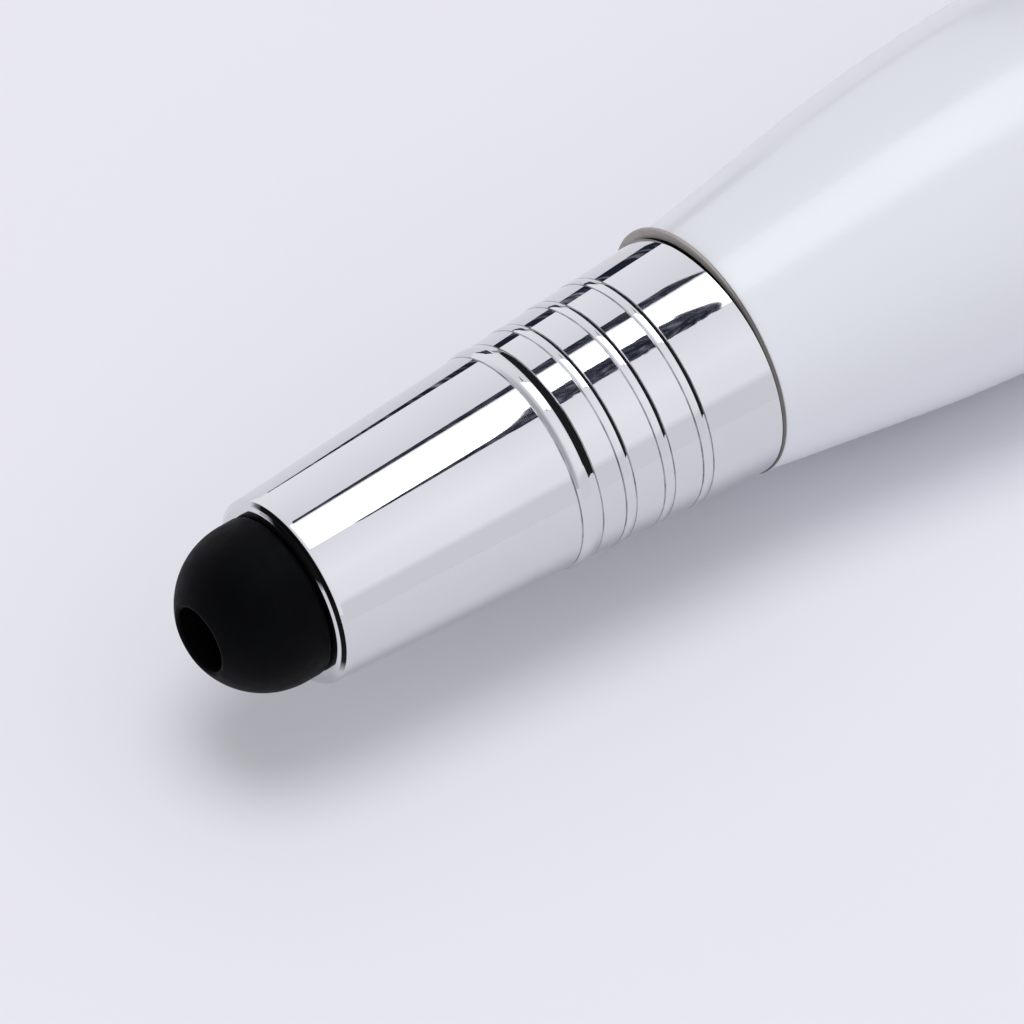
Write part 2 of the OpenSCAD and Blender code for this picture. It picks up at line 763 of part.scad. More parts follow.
// Side view of the clip: foot, bend, arm and the nub under its tip
module clip_side() {
    translate([foot_r, foot_s - clip_t / 2]) square([arm_r - clip_bend - foot_r, clip_t]);
    intersection() {
        translate([arm_r - clip_bend, bend_s]) difference() {
            circle(clip_bend + clip_t);
            circle(clip_bend);
        }
        translate([arm_r - clip_bend, bend_s]) square(clip_bend + clip_t);
    }
    translate([arm_r, tip_s]) square([clip_t, bend_s - tip_s]);
    translate([belly_r + clip_clear + nub_r, tip_s + clip_tip_w]) circle(nub_r);
}

// Plan of the clip: it narrows towards a round tip.
module clip_plan() {
    polygon([
        [-clip_w / 2, foot_s + clip_t],
        [-clip_w / 2, bend_s],
        [-tip_round, tip_s + tip_round],
        [tip_round, tip_s + tip_round],
        [clip_w / 2, bend_s],
        [clip_w / 2, foot_s + clip_t]
    ]);
    translate([0, tip_s + tip_round]) circle(tip_round);
}

module pocket_clip() color("#d8d9dc") pen() rotate(clip_roll - 90) intersection() {
    rotate([90, 0, 0]) linear_extrude(clip_w, center = true) clip_side();
    multmatrix([[0, 0, 1, 0], [1, 0, 0, 0], [0, 1, 0, 0], [0, 0, 0, 1]])
        linear_extrude(2 * arm_out_r) clip_plan();
}

stylus_tip();
nose_cone();
point_guide();
front_bush();
lower_barrel();
guide_tube();
retaining_ring();
return_spring();
refill_point();
writing_ball();
refill_tube();
ink_column();
spring_collar();
plunger();
cross_pin();
cam_sleeve();
drive_hub();
centre_band();
grip_ring();
case_top();
case_bottom();
circuit_board();
memory_chip();
controller_chip();
crystal();
board_passives();
usb_shell();
usb_insert();
usb_contacts();
upper_barrel();
tail_plug();
finial();
pocket_clip();
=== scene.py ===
"""A twist-action stylus pen with a flash drive under its cap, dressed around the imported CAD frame.

Lengths are in millimetres along the frame's X axis, the pen's own axis, with the tip towards -X.
Angles "about the pen" are in degrees from +Y over the top, +Z, to -Y.
"""

import json
import math

import bmesh
import bpy
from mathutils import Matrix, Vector, noise


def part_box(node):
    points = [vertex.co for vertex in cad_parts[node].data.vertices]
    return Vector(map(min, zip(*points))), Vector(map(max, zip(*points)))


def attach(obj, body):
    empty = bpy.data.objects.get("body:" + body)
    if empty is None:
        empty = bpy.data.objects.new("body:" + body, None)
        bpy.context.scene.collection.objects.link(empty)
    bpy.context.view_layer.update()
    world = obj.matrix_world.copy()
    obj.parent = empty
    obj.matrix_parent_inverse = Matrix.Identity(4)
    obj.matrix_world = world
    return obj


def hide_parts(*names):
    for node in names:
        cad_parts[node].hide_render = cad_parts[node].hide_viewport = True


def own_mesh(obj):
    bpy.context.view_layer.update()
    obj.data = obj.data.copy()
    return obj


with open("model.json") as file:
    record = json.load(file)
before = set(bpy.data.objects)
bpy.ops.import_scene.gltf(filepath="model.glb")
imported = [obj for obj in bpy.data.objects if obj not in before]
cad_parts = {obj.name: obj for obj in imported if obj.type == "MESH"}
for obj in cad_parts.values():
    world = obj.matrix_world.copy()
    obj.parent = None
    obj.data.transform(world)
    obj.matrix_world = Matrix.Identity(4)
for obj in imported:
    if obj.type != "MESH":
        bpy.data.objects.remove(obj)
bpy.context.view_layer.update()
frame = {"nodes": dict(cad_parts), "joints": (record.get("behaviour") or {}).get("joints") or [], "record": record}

MM = 0.001
SIDES = 256
SHARP = 40
ROUNDING = 0.001
FLAT_ANGLE = math.radians(0.5)
STEEP_ANGLE = math.radians(35)


# Sizes

def span(node):
    """Front and rear end of a node along the pen."""
    lo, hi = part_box(node)
    return lo.x / MM, hi.x / MM


def girth(node):
    """Radius of a turned node."""
    lo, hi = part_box(node)
    return (hi.z - lo.z) / 2 / MM


GLUE_GAP = 0.05
RUN_GAP = 0.08

TIP_X, SNAP_X = span("stylus_tip")
NOSE_X, SPIGOT_X = span("nose_cone")
RIM_X, BUSH_X = span("front_bush")
BARREL_X, SEAM_X = span("lower_barrel")
BAND_X, BAND_END_X = span("centre_band")
HUB_X, HUB_END_X = span("drive_hub")
CAP_X, CAP_END_X = span("upper_barrel")
PLUG_END_X = span("usb_shell")[1]
FINIAL_X, TAIL_X = span("finial")
SPRING_X, SPRING_END_X = span("return_spring")

BELLY_R = girth("lower_barrel")
AXIS_Z = BELLY_R
DOME_R = girth("stylus_tip")
RIM_R = girth("front_bush")
BAND_R = girth("centre_band")
HUB_R = girth("drive_hub")
TAIL_R = girth("finial")
NOSE_BORE_R = girth("point_guide") + GLUE_GAP

# Rubber stylus tip
HOLE_R = 1.4
HOLE_EDGE = 0.14
DOME_EDGE = 0.22
STEM_R = 2.6
SNAP_LEN = 1.1

# Cone: its lip, which is dished inside and bevelled outside, its skin and its spigot
NOSE_WALL = 1.25
LIP_W = 0.55
LIP_BEVEL = 0.14
LIP_FLAT = 0.015
LIP_ROUND = 0.13
LIP_DISH = 0.1
LIP_EDGE = 0.02
BEVEL_X = NOSE_X + LIP_DISH
LIP_X = BEVEL_X + LIP_BEVEL
NOSE_FRONT_R = DOME_R + LIP_W
NOSE_REAR_R = 5.325
NOSE_SLOPE = (NOSE_REAR_R - NOSE_FRONT_R) / (RIM_X - NOSE_X)
# Where the lip's bevel and rounding get a painted dark reflection: the side about the pen and the reach out from
# the axis over which it darkens
BEVEL_DARK_TURN = 130.0
BEVEL_DARK_REACH = (0.8, 2.6)
ROUND_DARK_TURN = 108.0
ROUND_DARK_REACH = (3.2, 3.7)
SPIGOT_WALL = 0.75
SPIGOT_R = NOSE_BORE_R + SPIGOT_WALL
STEP_H = 0.5

# Beads around the cone
ROOT_W = 0.07
BEAD_FIRST = 11.95
BEAD_PITCH = 1.86
BEAD_COUNT = 4
BEAD_W = 0.5
BEAD_H = 0.038
LEAD_BEAD_W = 1.0
LEAD_BEAD_H = 0.1
LEAD_BEAD_SKEW = 0.12
BEAD_FALL = 1.3

# Gap behind the cone, wider on one side, and the bare rim, proud on about the same side
NOSE_GAP = 0.02
REAR_X = RIM_X - NOSE_GAP
GAP_OPEN = 0.19
GAP_TURN = 68.0
GAP_FALL = 3
GAP_BLEND = 1.0
# Radius out to which the rim's front face inside the gap is painted black, a painted shadow
GAP_SHADOW_R = 5.27
RIM_PROUD = 0.31
RIM_LEAN = 55.0
RIM_FALL = 1.5
RIM_COVER = 0.09
RIM_EDGE = 0.04
RIM_BRIGHT = (0.6, 7.0)

# Barrel, hub and band
BARREL_WALL = 0.8
BORE_R = BELLY_R - BARREL_WALL
BUSH_R = RIM_R - BARREL_WALL
FLARE_LEN = 7.0
FLARE_ANGLE = math.radians(9)
FLARE_LEAN = 90 + math.degrees(FLARE_ANGLE)
BARREL_EDGE = 0.1
SHELL_X = BARREL_X - RIM_COVER
SHELL_R = RIM_R - RIM_COVER * math.tan(FLARE_ANGLE)
BAND_GROOVE_W = 0.5
BAND_GROOVE_H = 0.2
BAND_EDGE = 0.15
GROOVE_EDGE = 0.08
HUB_EDGE = 0.25
HUB_BEVEL = 0.05
HUB_WEB_X = 5.2
HUB_WEB_END_X = 8.2
CAM_SEAT_R = 4.86
STUB_SEAT_R = 5.0
CORD_R = 0.45
CORD_X = (CAP_X + HUB_END_X) / 2
CORD_MID_R = BORE_R - RUN_GAP / 2 - CORD_R

# Cap, finial and clip
TAPER_LEN = 18.0
TAPER_RISE = BELLY_R - TAIL_R
TAPER_ARC = (TAPER_LEN ** 2 + TAPER_RISE ** 2) / (2 * TAPER_RISE)
CAP_SPARE = 6.0
SEAT_R = TAIL_R - BARREL_WALL
FINIAL_BASE = 1.2
FINIAL_GROOVE = 0.4
FINIAL_EDGE = 0.15
STUD_R = 2.0
STUD_BEVEL = 0.3
CLIP_T = 0.8
CLIP_W = 3.6
CLIP_TIP_W = 3.0
CLIP_LEN = 37.0
CLIP_GAP = 1.3
CLIP_BEND = 1.0
CLIP_INSET = 2.2
CLIP_CLEAR = 0.25
CLIP_EDGE = 0.16
CLIP_END = 0.02
CLIP_END_W = 0.2
FOOT_DEPTH = 2.2
NUB_R = 1.0

# Return spring
SPRING_R = 2.0
WIRE_R = 0.2
SPRING_TURNS = 9


# Meshes

def arc(x, r, radius, start, end, steps=8):
    """Profile points on an arc. Angles are in degrees from the tail's direction outwards."""
    turns = [math.radians(start + (end - start) * i / steps) for i in range(steps + 1)]
    return [(x + radius * math.cos(t), r + radius * math.sin(t)) for t in turns]


def run(start, end, steps):
    """Evenly spaced profile points from start up to, but without, end."""
    return [
        (start[0] + (end[0] - start[0]) * i / steps, start[1] + (end[1] - start[1]) * i / steps)
        for i in range(steps)
    ]


def finish_mesh(name, bm, sharp=SHARP):
    """Turns a bmesh into a smooth-shaded object whose steep edges stay sharp."""
    bmesh.ops.remove_doubles(bm, verts=bm.verts, dist=1e-7)
    bmesh.ops.recalc_face_normals(bm, faces=bm.faces)
    mesh = bpy.data.meshes.new(name)
    bm.to_mesh(mesh)
    bm.free()
    mesh.shade_smooth()
    mesh.set_sharp_from_angle(angle=math.radians(sharp))
    piece = bpy.data.objects.new(name, mesh)
    bpy.context.scene.collection.objects.link(piece)
    return piece


def lathe(name, profile, sides=SIDES):
    """Turns a closed profile of (x, radius) points about the pen's axis."""
    bm = bmesh.new()
    rings = []
    for i in range(sides):
        t = 2 * math.pi * i / sides
        c, s = math.cos(t), math.sin(t)
        rings.append([bm.verts.new((x * MM, r * c * MM, (AXIS_Z + r * s) * MM)) for x, r in profile])
    for i in range(sides):
        here, there = rings[i], rings[(i + 1) % sides]
        for k in range(len(profile)):
            m = (k + 1) % len(profile)
            if profile[k][1] + profile[m][1] > 0:
                bm.faces.new((here[k], here[m], there[m], there[k]))
    return finish_mesh(name, bm)


def soften(node, edge):
    """A copy of a CAD node with its edges rounded."""
    bm = bmesh.new()
    bm.from_mesh(frame["nodes"][node].data)
    bmesh.ops.remove_doubles(bm, verts=bm.verts, dist=1e-6)
    bmesh.ops.dissolve_limit(bm, angle_limit=FLAT_ANGLE, verts=bm.verts, edges=bm.edges)
    steep = [e for e in bm.edges if e.is_manifold and e.calc_face_angle() > STEEP_ANGLE]
    bmesh.ops.bevel(bm, geom=steep, offset=edge * MM, segments=2, profile=0.5, affect="EDGES",
                    clamp_overlap=True)
    return finish_mesh(node + "_soft", bm, sharp=50)


def sweep(name, bm, rings):
    """Joins a row of equal rings of vertices to a bar with two flat ends."""
    for here, there in zip(rings, rings[1:]):
        for k in range(len(here)):
            m = (k + 1) % len(here)
            bm.faces.new((here[k], here[m], there[m], there[k]))
    bm.faces.new(rings[0])
    bm.faces.new(rings[-1])
    return finish_mesh(name, bm)


def off_axis(place):
    """How far a place in metres is beside and above the pen's axis, and how far away from it."""
    side, rise = place.y, place.z - AXIS_Z * MM
    return side, rise, math.hypot(side, rise)


def facing(vertex, turn):
    """Cosine, never below zero, of the angle about the pen between a vertex and a direction."""
    side, rise = off_axis(vertex.co)[:2]
    return max(math.cos(math.atan2(rise, side) - math.radians(turn)), 0)


def scale_round(vertex, share):
    """Moves a vertex to a share of its distance from the pen's axis."""
    side, rise = off_axis(vertex.co)[:2]
    vertex.co.y = side * share
    vertex.co.z = AXIS_Z * MM + rise * share


def stylus_tip():
    """Rubber dome with a rounded hole, its stem and its snap flange."""
    dome_x = TIP_X + math.sqrt(DOME_R ** 2 - HOLE_R ** 2)
    edge_r = HOLE_R + HOLE_EDGE
    edge_x = dome_x - math.sqrt((DOME_R - HOLE_EDGE) ** 2 - edge_r ** 2)
    lean = math.degrees(math.atan2(edge_r, edge_x - dome_x))
    snap_x = SNAP_X - SNAP_LEN
    flange_r = NOSE_BORE_R - GLUE_GAP
    profile = run((SNAP_X, HOLE_R), (edge_x, HOLE_R), 12)
    profile += arc(edge_x, edge_r, HOLE_EDGE, 270, lean, 10)
    profile += arc(dome_x, 0, DOME_R, lean - 1, 90, 48)
    profile += run((dome_x + 0.1, DOME_R), (NOSE_X - DOME_EDGE, DOME_R), 6)
    profile += arc(NOSE_X - DOME_EDGE, DOME_R - DOME_EDGE, DOME_EDGE, 90, 0, 8)
    profile += [(NOSE_X, STEM_R), (snap_x, STEM_R), (snap_x, flange_r), (SNAP_X, flange_r)]
    return lathe("stylus_dome", profile)


def cone_r(x):
    """Radius of the plain cone."""
    return NOSE_FRONT_R + NOSE_SLOPE * (x - NOSE_X)


def bead_r(x):
    """Height of the beads above the plain cone. The first one is wider, higher and steeper in front."""
    height = 0.0
    for i in range(BEAD_COUNT):
        wide, tall, skew = (BEAD_W, BEAD_H, 0) if i else (LEAD_BEAD_W, LEAD_BEAD_H, LEAD_BEAD_SKEW)
        place = x - NOSE_X - BEAD_FIRST - i * BEAD_PITCH + skew
        share = place / (wide / 2 + math.copysign(skew, place))
        if abs(share) < 1:
            height += tall * (1 - share ** 2) ** BEAD_FALL
    return height


def skin_stations(start, end):
    """Stations along the cone's skin, close together at the beads and their roots."""
    steps, fine = 80, ROOT_W / 2
    stations = [start + (end - start) * i / steps for i in range(steps + 1)]
    for i in range(BEAD_COUNT):
        middle = NOSE_X + BEAD_FIRST + i * BEAD_PITCH
        half = (BEAD_W if i else LEAD_BEAD_W) / 2 + 3 * fine
        count = round(2 * half / fine)
        stations = [x for x in stations if abs(x - middle) > half + fine / 2]
        stations += [middle - half + 2 * half * k / count for k in range(count + 1)]
    return sorted(stations)


def lip_profile():
    """Profile of the cone's front, from its bore over the dished and bevelled lip to the skin."""
    skin_r = cone_r(LIP_X)
    bevel_r = skin_r - LIP_BEVEL
    corners = [
        (NOSE_X, STEM_R + GLUE_GAP),
        (NOSE_X, DOME_R - DOME_EDGE),
        (NOSE_X + LIP_FLAT, bevel_r - LIP_ROUND),
        (BEVEL_X, bevel_r - LIP_EDGE),
        (BEVEL_X + LIP_EDGE, bevel_r + LIP_EDGE),
        (LIP_X - LIP_EDGE, skin_r - LIP_EDGE),
        (LIP_X + LIP_EDGE, skin_r),
    ]
    profile = []
    for start, end, steps in zip(corners, corners[1:], (4, 8, 6, 3, 6, 3)):
        profile += run(start, end, steps)
    return profile


def finish_nose(nose):
    """Gives the roots of the beads painted shade, and the lip's bevel and rounding chrome with a painted dark
    reflection on one side.
    """
    finishes = ["chrome_plate", "painted_root_shade", "lip_bevel_painted_dark", "lip_round"]
    for finish in finishes:
        nose.data.materials.append(MATERIALS[finish])
    for face in nose.data.polygons:
        place = face.center.x / MM - NOSE_X - BEAD_FIRST
        bead = min(max(round(place / BEAD_PITCH), 0), BEAD_COUNT - 1)
        half = (BEAD_W if bead else LEAD_BEAD_W) / 2
        # Faces at the beads' roots take the painted shade.
        if abs(abs(place - bead * BEAD_PITCH) - half) < ROOT_W / 2:
            face.material_index = finishes.index("painted_root_shade")
        # The lip's bevel and rounding take chrome with a painted dark reflection on one side.
        if BEVEL_X * MM < face.center.x < LIP_X * MM:
            face.material_index = finishes.index("lip_bevel_painted_dark")
        if (NOSE_X + LIP_FLAT) * MM < face.center.x < BEVEL_X * MM:
            face.material_index = finishes.index("lip_round")


def open_gap(nose):
    """Draws the cone's rear edge forward along its skin on one side, which opens the gap to the rim."""
    for vertex in nose.data.vertices:
        share = 1 - (REAR_X - vertex.co.x / MM) / GAP_BLEND
        r = off_axis(vertex.co)[2]
        if 0 < share < 1 + ROUNDING and r > (SPIGOT_R + STEP_H / 2) * MM:
            shift = GAP_OPEN * MM * share * facing(vertex, GAP_TURN) ** GAP_FALL
            vertex.co.x -= shift
            scale_round(vertex, 1 - NOSE_SLOPE * shift / r)


def nose_cone():
    """Chromed cone with its bevelled lip, beads, relieved rear face and spigot."""
    wall_x = NOSE_X + NOSE_WALL
    step_r = SPIGOT_R + STEP_H
    profile = lip_profile()
    profile += [(x, cone_r(x) + bead_r(x)) for x in skin_stations(LIP_X + LIP_EDGE, REAR_X)]
    profile += [(REAR_X, step_r), (RIM_X, step_r), (RIM_X, SPIGOT_R), (SPIGOT_X, SPIGOT_R)]
    profile += [(SPIGOT_X, NOSE_BORE_R), (wall_x, NOSE_BORE_R), (wall_x, STEM_R + GLUE_GAP)]
    nose = lathe("nose_shell", profile)
    finish_nose(nose)
    open_gap(nose)
    return nose


def front_bush():
    """Thread bush with the bare rim that shows between cone and barrel, and the painted shadow of the gap in front
    of it.
    """
    bore_r = SPIGOT_R + GLUE_GAP
    tube_r = BUSH_R - GLUE_GAP
    profile = run((RIM_X, bore_r), (RIM_X, GAP_SHADOW_R), 4) + [(RIM_X, GAP_SHADOW_R)]
    profile += arc(RIM_X + RIM_EDGE, RIM_R - RIM_EDGE, RIM_EDGE, 180, 90, 4)
    profile += arc(SHELL_X - RIM_EDGE, RIM_R - RIM_EDGE, RIM_EDGE, 90, 0, 4)
    profile += [(SHELL_X, tube_r), (BUSH_X, tube_r), (BUSH_X, bore_r)]
    bush = lathe("bare_rim", profile)
    finishes = ["bare_rim", "gap_painted_shadow"]
    for finish in finishes:
        bush.data.materials.append(MATERIALS[finish])
    # Faces of the rim's front inside the gap take the painted shadow.
    for face in bush.data.polygons:
        if face.center.x < (RIM_X + ROUNDING) * MM and off_axis(face.center)[2] < GAP_SHADOW_R * MM:
            face.material_index = finishes.index("gap_painted_shadow")
    for vertex in bush.data.vertices:
        r = off_axis(vertex.co)[2]
        if r > (RIM_R - 1.2 * RIM_EDGE) * MM:
            scale_round(vertex, 1 + RIM_PROUD * MM * facing(vertex, RIM_LEAN) ** RIM_FALL / r)
    return bush


def swell(crest_r, crest_x, radius, steps):
    """Profile of the barrel's front: a straight flare that runs into an arc."""
    arc_x = crest_x - radius * math.sin(FLARE_ANGLE)
    arc_r = crest_r - radius * (1 - math.cos(FLARE_ANGLE))
    front_r = arc_r - (arc_x - SHELL_X) * math.tan(FLARE_ANGLE)
    flare = run((SHELL_X, front_r), (arc_x, arc_r), steps)
    return flare + arc(crest_x, crest_r - radius, radius, FLARE_LEAN, 90, steps)


def lower_barrel():
    """Lacquered front barrel with softly rounded ends."""
    flare_r = RIM_R + FLARE_LEN * math.tan(FLARE_ANGLE)
    radius = (BELLY_R - flare_r) / (1 - math.cos(FLARE_ANGLE))
    belly_x = BARREL_X + FLARE_LEN + radius * math.sin(FLARE_ANGLE)
    edge = BARREL_EDGE
    outer = [p for p in swell(BELLY_R, belly_x, radius, 48) if p[0] > SHELL_X + 1.6 * edge]
    inner = [p for p in swell(BORE_R, belly_x, radius - BARREL_WALL, 48) if p[0] > BUSH_X]
    profile = [(SHELL_X, BUSH_R)]
    profile += run((SHELL_X, BUSH_R + 0.1), (SHELL_X, SHELL_R - edge), 4)
    profile += arc(SHELL_X + edge, SHELL_R - edge, edge, 180, FLARE_LEAN, 8)
    profile += outer
    profile += run((belly_x + 0.5, BELLY_R), (SEAM_X - edge, BELLY_R), 30)
    profile += arc(SEAM_X - edge, BELLY_R - edge, edge, 90, 0, 6)
    profile += [(SEAM_X, BORE_R)]
    profile += inner[::-1]
    profile += [(BUSH_X, inner[0][1]), (BUSH_X, BUSH_R)]
    return lathe("lower_barrel_shell", profile)


def centre_band():
    """Chromed band with a turned groove."""
    edge, lip = BAND_EDGE, GROOVE_EDGE
    inner_r = HUB_R + GLUE_GAP
    groove_x = (BAND_X + BAND_END_X - BAND_GROOVE_W) / 2
    groove_end_x = groove_x + BAND_GROOVE_W
    floor_r = BAND_R - BAND_GROOVE_H
    profile = [(BAND_X, inner_r)]
    profile += arc(BAND_X + edge, BAND_R - edge, edge, 180, 90, 6)
    profile += run((BAND_X + edge + 0.1, BAND_R), (groove_x - lip - 0.05, BAND_R), 4)
    profile += arc(groove_x - lip, BAND_R - lip, lip, 90, 0, 5)
    profile += [(groove_x, floor_r), (groove_end_x, floor_r)]
    profile += arc(groove_end_x + lip, BAND_R - lip, lip, 180, 90, 5)
    profile += run((groove_end_x + lip + 0.05, BAND_R), (BAND_END_X - edge - 0.1, BAND_R), 4)
    profile += arc(BAND_END_X - edge, BAND_R - edge, edge, 90, 0, 6)
    profile += [(BAND_END_X, inner_r)]
    return lathe("centre_band_ring", profile)


def drive_hub():
    """Turned brass hub: skirt, web, and the spigot with the grip ring's groove."""
    edge = HUB_EDGE
    groove_r = CORD_MID_R - CORD_R
    bevel_r = HUB_R - HUB_BEVEL
    half = CORD_R + GLUE_GAP
    start_x, end_x = CORD_X - half, CORD_X + half
    profile = [(HUB_X, CAM_SEAT_R)]
    profile += arc(HUB_X + edge, HUB_R - edge, edge, 180, 90, 5)
    profile += run((HUB_X + edge + 0.1, HUB_R), (start_x - HUB_BEVEL, HUB_R), 24)
    profile += [(start_x - HUB_BEVEL, HUB_R), (start_x, bevel_r), (start_x, groove_r)]
    profile += [(end_x, groove_r), (end_x, bevel_r), (end_x + HUB_BEVEL, HUB_R)]
    profile += run((end_x + 2 * HUB_BEVEL, HUB_R), (HUB_END_X - edge, HUB_R), 8)
    profile += arc(HUB_END_X - edge, HUB_R - edge, edge, 90, 0, 5)
    profile += [(HUB_END_X, STUB_SEAT_R), (HUB_WEB_END_X, STUB_SEAT_R), (HUB_WEB_END_X, 0)]
    profile += [(HUB_WEB_X, 0), (HUB_WEB_X, CAM_SEAT_R)]
    return lathe("hub_body", profile)


def grip_ring():
    """Round rubber cord in the hub's groove."""
    return lathe("grip_cord", arc(CORD_X, CORD_MID_R, CORD_R, 0, 345, 23))


def upper_barrel():
    """Lacquered cap with rounded ends, a tapered tail and the slot for the clip's foot."""
    edge = BARREL_EDGE
    taper_x = CAP_END_X - TAPER_LEN
    lean = math.degrees(math.asin(TAPER_LEN / TAPER_ARC))
    seat_x = PLUG_END_X + CAP_SPARE
    profile = [(CAP_X, BORE_R)]
    profile += arc(CAP_X + edge, BELLY_R - edge, edge, 180, 90, 6)
    profile += run((CAP_X + edge + 0.3, BELLY_R), (taper_x, BELLY_R), 48)
    profile += arc(taper_x, BELLY_R - TAPER_ARC, TAPER_ARC, 90, 90 - lean * (1 - edge / TAPER_LEN), 48)
    profile += arc(CAP_END_X - edge, TAIL_R - edge, edge, 84, 0, 6)
    profile += [(CAP_END_X, SEAT_R), (seat_x, SEAT_R), (PLUG_END_X + 1, BORE_R)]
    cap = lathe("cap_shell", profile)
    cut(cap, clip_slot())
    return cap


def cut(piece, cutter):
    """Cuts one closed mesh out of another for good."""
    modifier = piece.modifiers.new("slot", "BOOLEAN")
    modifier.operation = "DIFFERENCE"
    modifier.solver = "EXACT"
    modifier.object = cutter
    shown = piece.evaluated_get(bpy.context.evaluated_depsgraph_get())
    mesh = bpy.data.meshes.new_from_object(shown)
    piece.modifiers.clear()
    piece.data = mesh
    mesh.set_sharp_from_angle(angle=math.radians(SHARP))
    bpy.data.objects.remove(cutter)


def finial():
    """Chromed tail button: straight base, groove, dome and the stud behind it."""
    base_x = CAP_END_X + FINIAL_BASE
    dome_x = base_x + FINIAL_GROOVE
    dome_r = TAIL_R - FINIAL_GROOVE / 2
    rise = TAIL_X - dome_x
    radius = (dome_r ** 2 + rise ** 2) / (2 * rise)
    lean = math.degrees(math.asin(dome_r / radius))
    edge = FINIAL_EDGE
    neck_r = dome_r - FINIAL_GROOVE
    profile = [(FINIAL_X, 0), (FINIAL_X, STUD_R - STUD_BEVEL), (FINIAL_X + STUD_BEVEL, STUD_R)]
    profile += [(CAP_END_X, STUD_R)]
    profile += arc(CAP_END_X + edge, TAIL_R - edge, edge, 180, 90, 6)
    profile += arc(base_x - edge, TAIL_R - edge, edge, 90, 0, 6)
    profile += [(base_x, neck_r), (dome_x, neck_r)]
    profile += [(dome_x, dome_r - 0.08), (dome_x + 0.03, dome_r - 0.03)]
    profile += arc(TAIL_X - radius, 0, radius, lean - 1.2, 0, 40)
    return lathe("tail_button", profile)


def clip_frame():
    """Directions of the clip: across its width, and outwards from the pen's axis."""
    joint = [j for j in frame["joints"] if j["name"] == "clip_flex"][0]
    across = Vector(joint["axis"]).normalized()
    return across, Vector((1, 0, 0)).cross(across)


def pen_point(x, out, side):
    """World place of a point given along the pen, out from its axis and across the clip."""
    across, outward = clip_frame()
    axis = Vector((x, 0, AXIS_Z))
    return (axis + outward * out + across * side) * MM


def foot_place():
    """Station of the clip's foot, and how far in it reaches."""
    foot_x = CAP_END_X - CLIP_INSET
    along = foot_x - CAP_END_X + TAPER_LEN
    skin_r = BELLY_R - TAPER_ARC + math.sqrt(TAPER_ARC ** 2 - along ** 2)
    return foot_x, skin_r - FOOT_DEPTH


def clip_slot():
    """Block that leaves room for the clip's foot."""
    foot_x, foot_r = foot_place()
    half_t = CLIP_T / 2 + CLIP_CLEAR
    half_w = CLIP_W / 2 + CLIP_CLEAR
    bm = bmesh.new()
    corners = [
        [bm.verts.new(pen_point(x, out, side)) for side in (-half_w, half_w)]
        for out in (foot_r - CLIP_CLEAR, BELLY_R + 1) for x in (foot_x - half_t, foot_x + half_t)
    ]
    bmesh.ops.convex_hull(bm, input=[v for pair in corners for v in pair])
    return finish_mesh("slot_cutter", bm)


def clip_sections():
    """Cross-sections of the clip from its foot to its tip: middle, normal, thicknesses, half-width."""
    foot_x, foot_r = foot_place()
    arm_r = BELLY_R + CLIP_GAP
    mid_r = arm_r + CLIP_T / 2
    bend_r = CLIP_BEND + CLIP_T / 2
    bend_x = foot_x - bend_r
    tip_x = foot_x - CLIP_LEN
    tip_round = CLIP_TIP_W / 2
    half_t = CLIP_T / 2
    sections = []
    for i in range(7):
        out = foot_r + (mid_r - bend_r - foot_r) * i / 6
        sections.append(((foot_x, out), (1, 0), half_t, half_t, CLIP_W / 2))
    for i in range(1, 13):
        t = math.pi / 2 * i / 12
        place = (bend_x + bend_r * math.cos(t), mid_r - bend_r + bend_r * math.sin(t))
        sections.append((place, (math.cos(t), math.sin(t)), half_t, half_t, CLIP_W / 2))
    nub_x = tip_x + CLIP_TIP_W
    nub_r = BELLY_R + CLIP_CLEAR + NUB_R
    steps = 120
    for i in range(1, steps + 1):
        x = bend_x + (tip_x + CLIP_END - bend_x) * i / steps
        share = (bend_x - x) / (bend_x - tip_x - tip_round)
        half_w = CLIP_W / 2 + (tip_round - CLIP_W / 2) * min(share, 1)
        if x < tip_x + tip_round:
            half_w = math.sqrt(max(tip_round ** 2 - (tip_x + tip_round - x) ** 2, CLIP_END_W ** 2))
        under = half_t
        if abs(x - nub_x) < NUB_R:
            under = max(half_t, mid_r - nub_r + math.sqrt(NUB_R ** 2 - (x - nub_x) ** 2))
        sections.append(((x, mid_r), (0, 1), half_t, under, half_w))
    return sections


def pocket_clip():
    """Spring clip bent from one strip, with rounded edges and a pressed nub under its tip."""
    corners = ((0, 1, 1), (90, -1, 1), (180, -1, -1), (270, 1, -1))
    bm = bmesh.new()
    rings = []
    for (x, out), (nx, nr), top, under, half_w in clip_sections():
        edge = min(CLIP_EDGE, half_w * 0.8)
        ring = []
        for start, sx, sy in corners:
            depth = top if sy > 0 else under
            for k in range(5):
                t = math.radians(start + 90 * k / 4)
                side = sx * (half_w - edge) + edge * math.cos(t)
                lift = sy * (depth - edge) + edge * math.sin(t)
                ring.append(bm.verts.new(pen_point(x + nx * lift, out + nr * lift, side)))
        rings.append(ring)
    return sweep("clip_strip", bm, rings)


def return_spring():
    """Coil of round wire around the refill."""
    steps, sides = 36, 12
    last = SPRING_TURNS * steps
    length = SPRING_END_X - SPRING_X - 2 * WIRE_R
    bm = bmesh.new()
    rings = []
    for i in range(last + 1):
        t = 2 * math.pi * i / steps
        x = SPRING_X + WIRE_R + length * i / last
        ring = []
        for k in range(sides):
            u = 2 * math.pi * k / sides
            r = SPRING_R + WIRE_R * math.cos(u)
            place = (x + WIRE_R * math.sin(u), -r * math.sin(t), AXIS_Z - r * math.cos(t))
            ring.append(bm.verts.new(Vector(place) * MM))
        rings.append(ring)
    return sweep("spring_coil", bm, rings)


# Materials

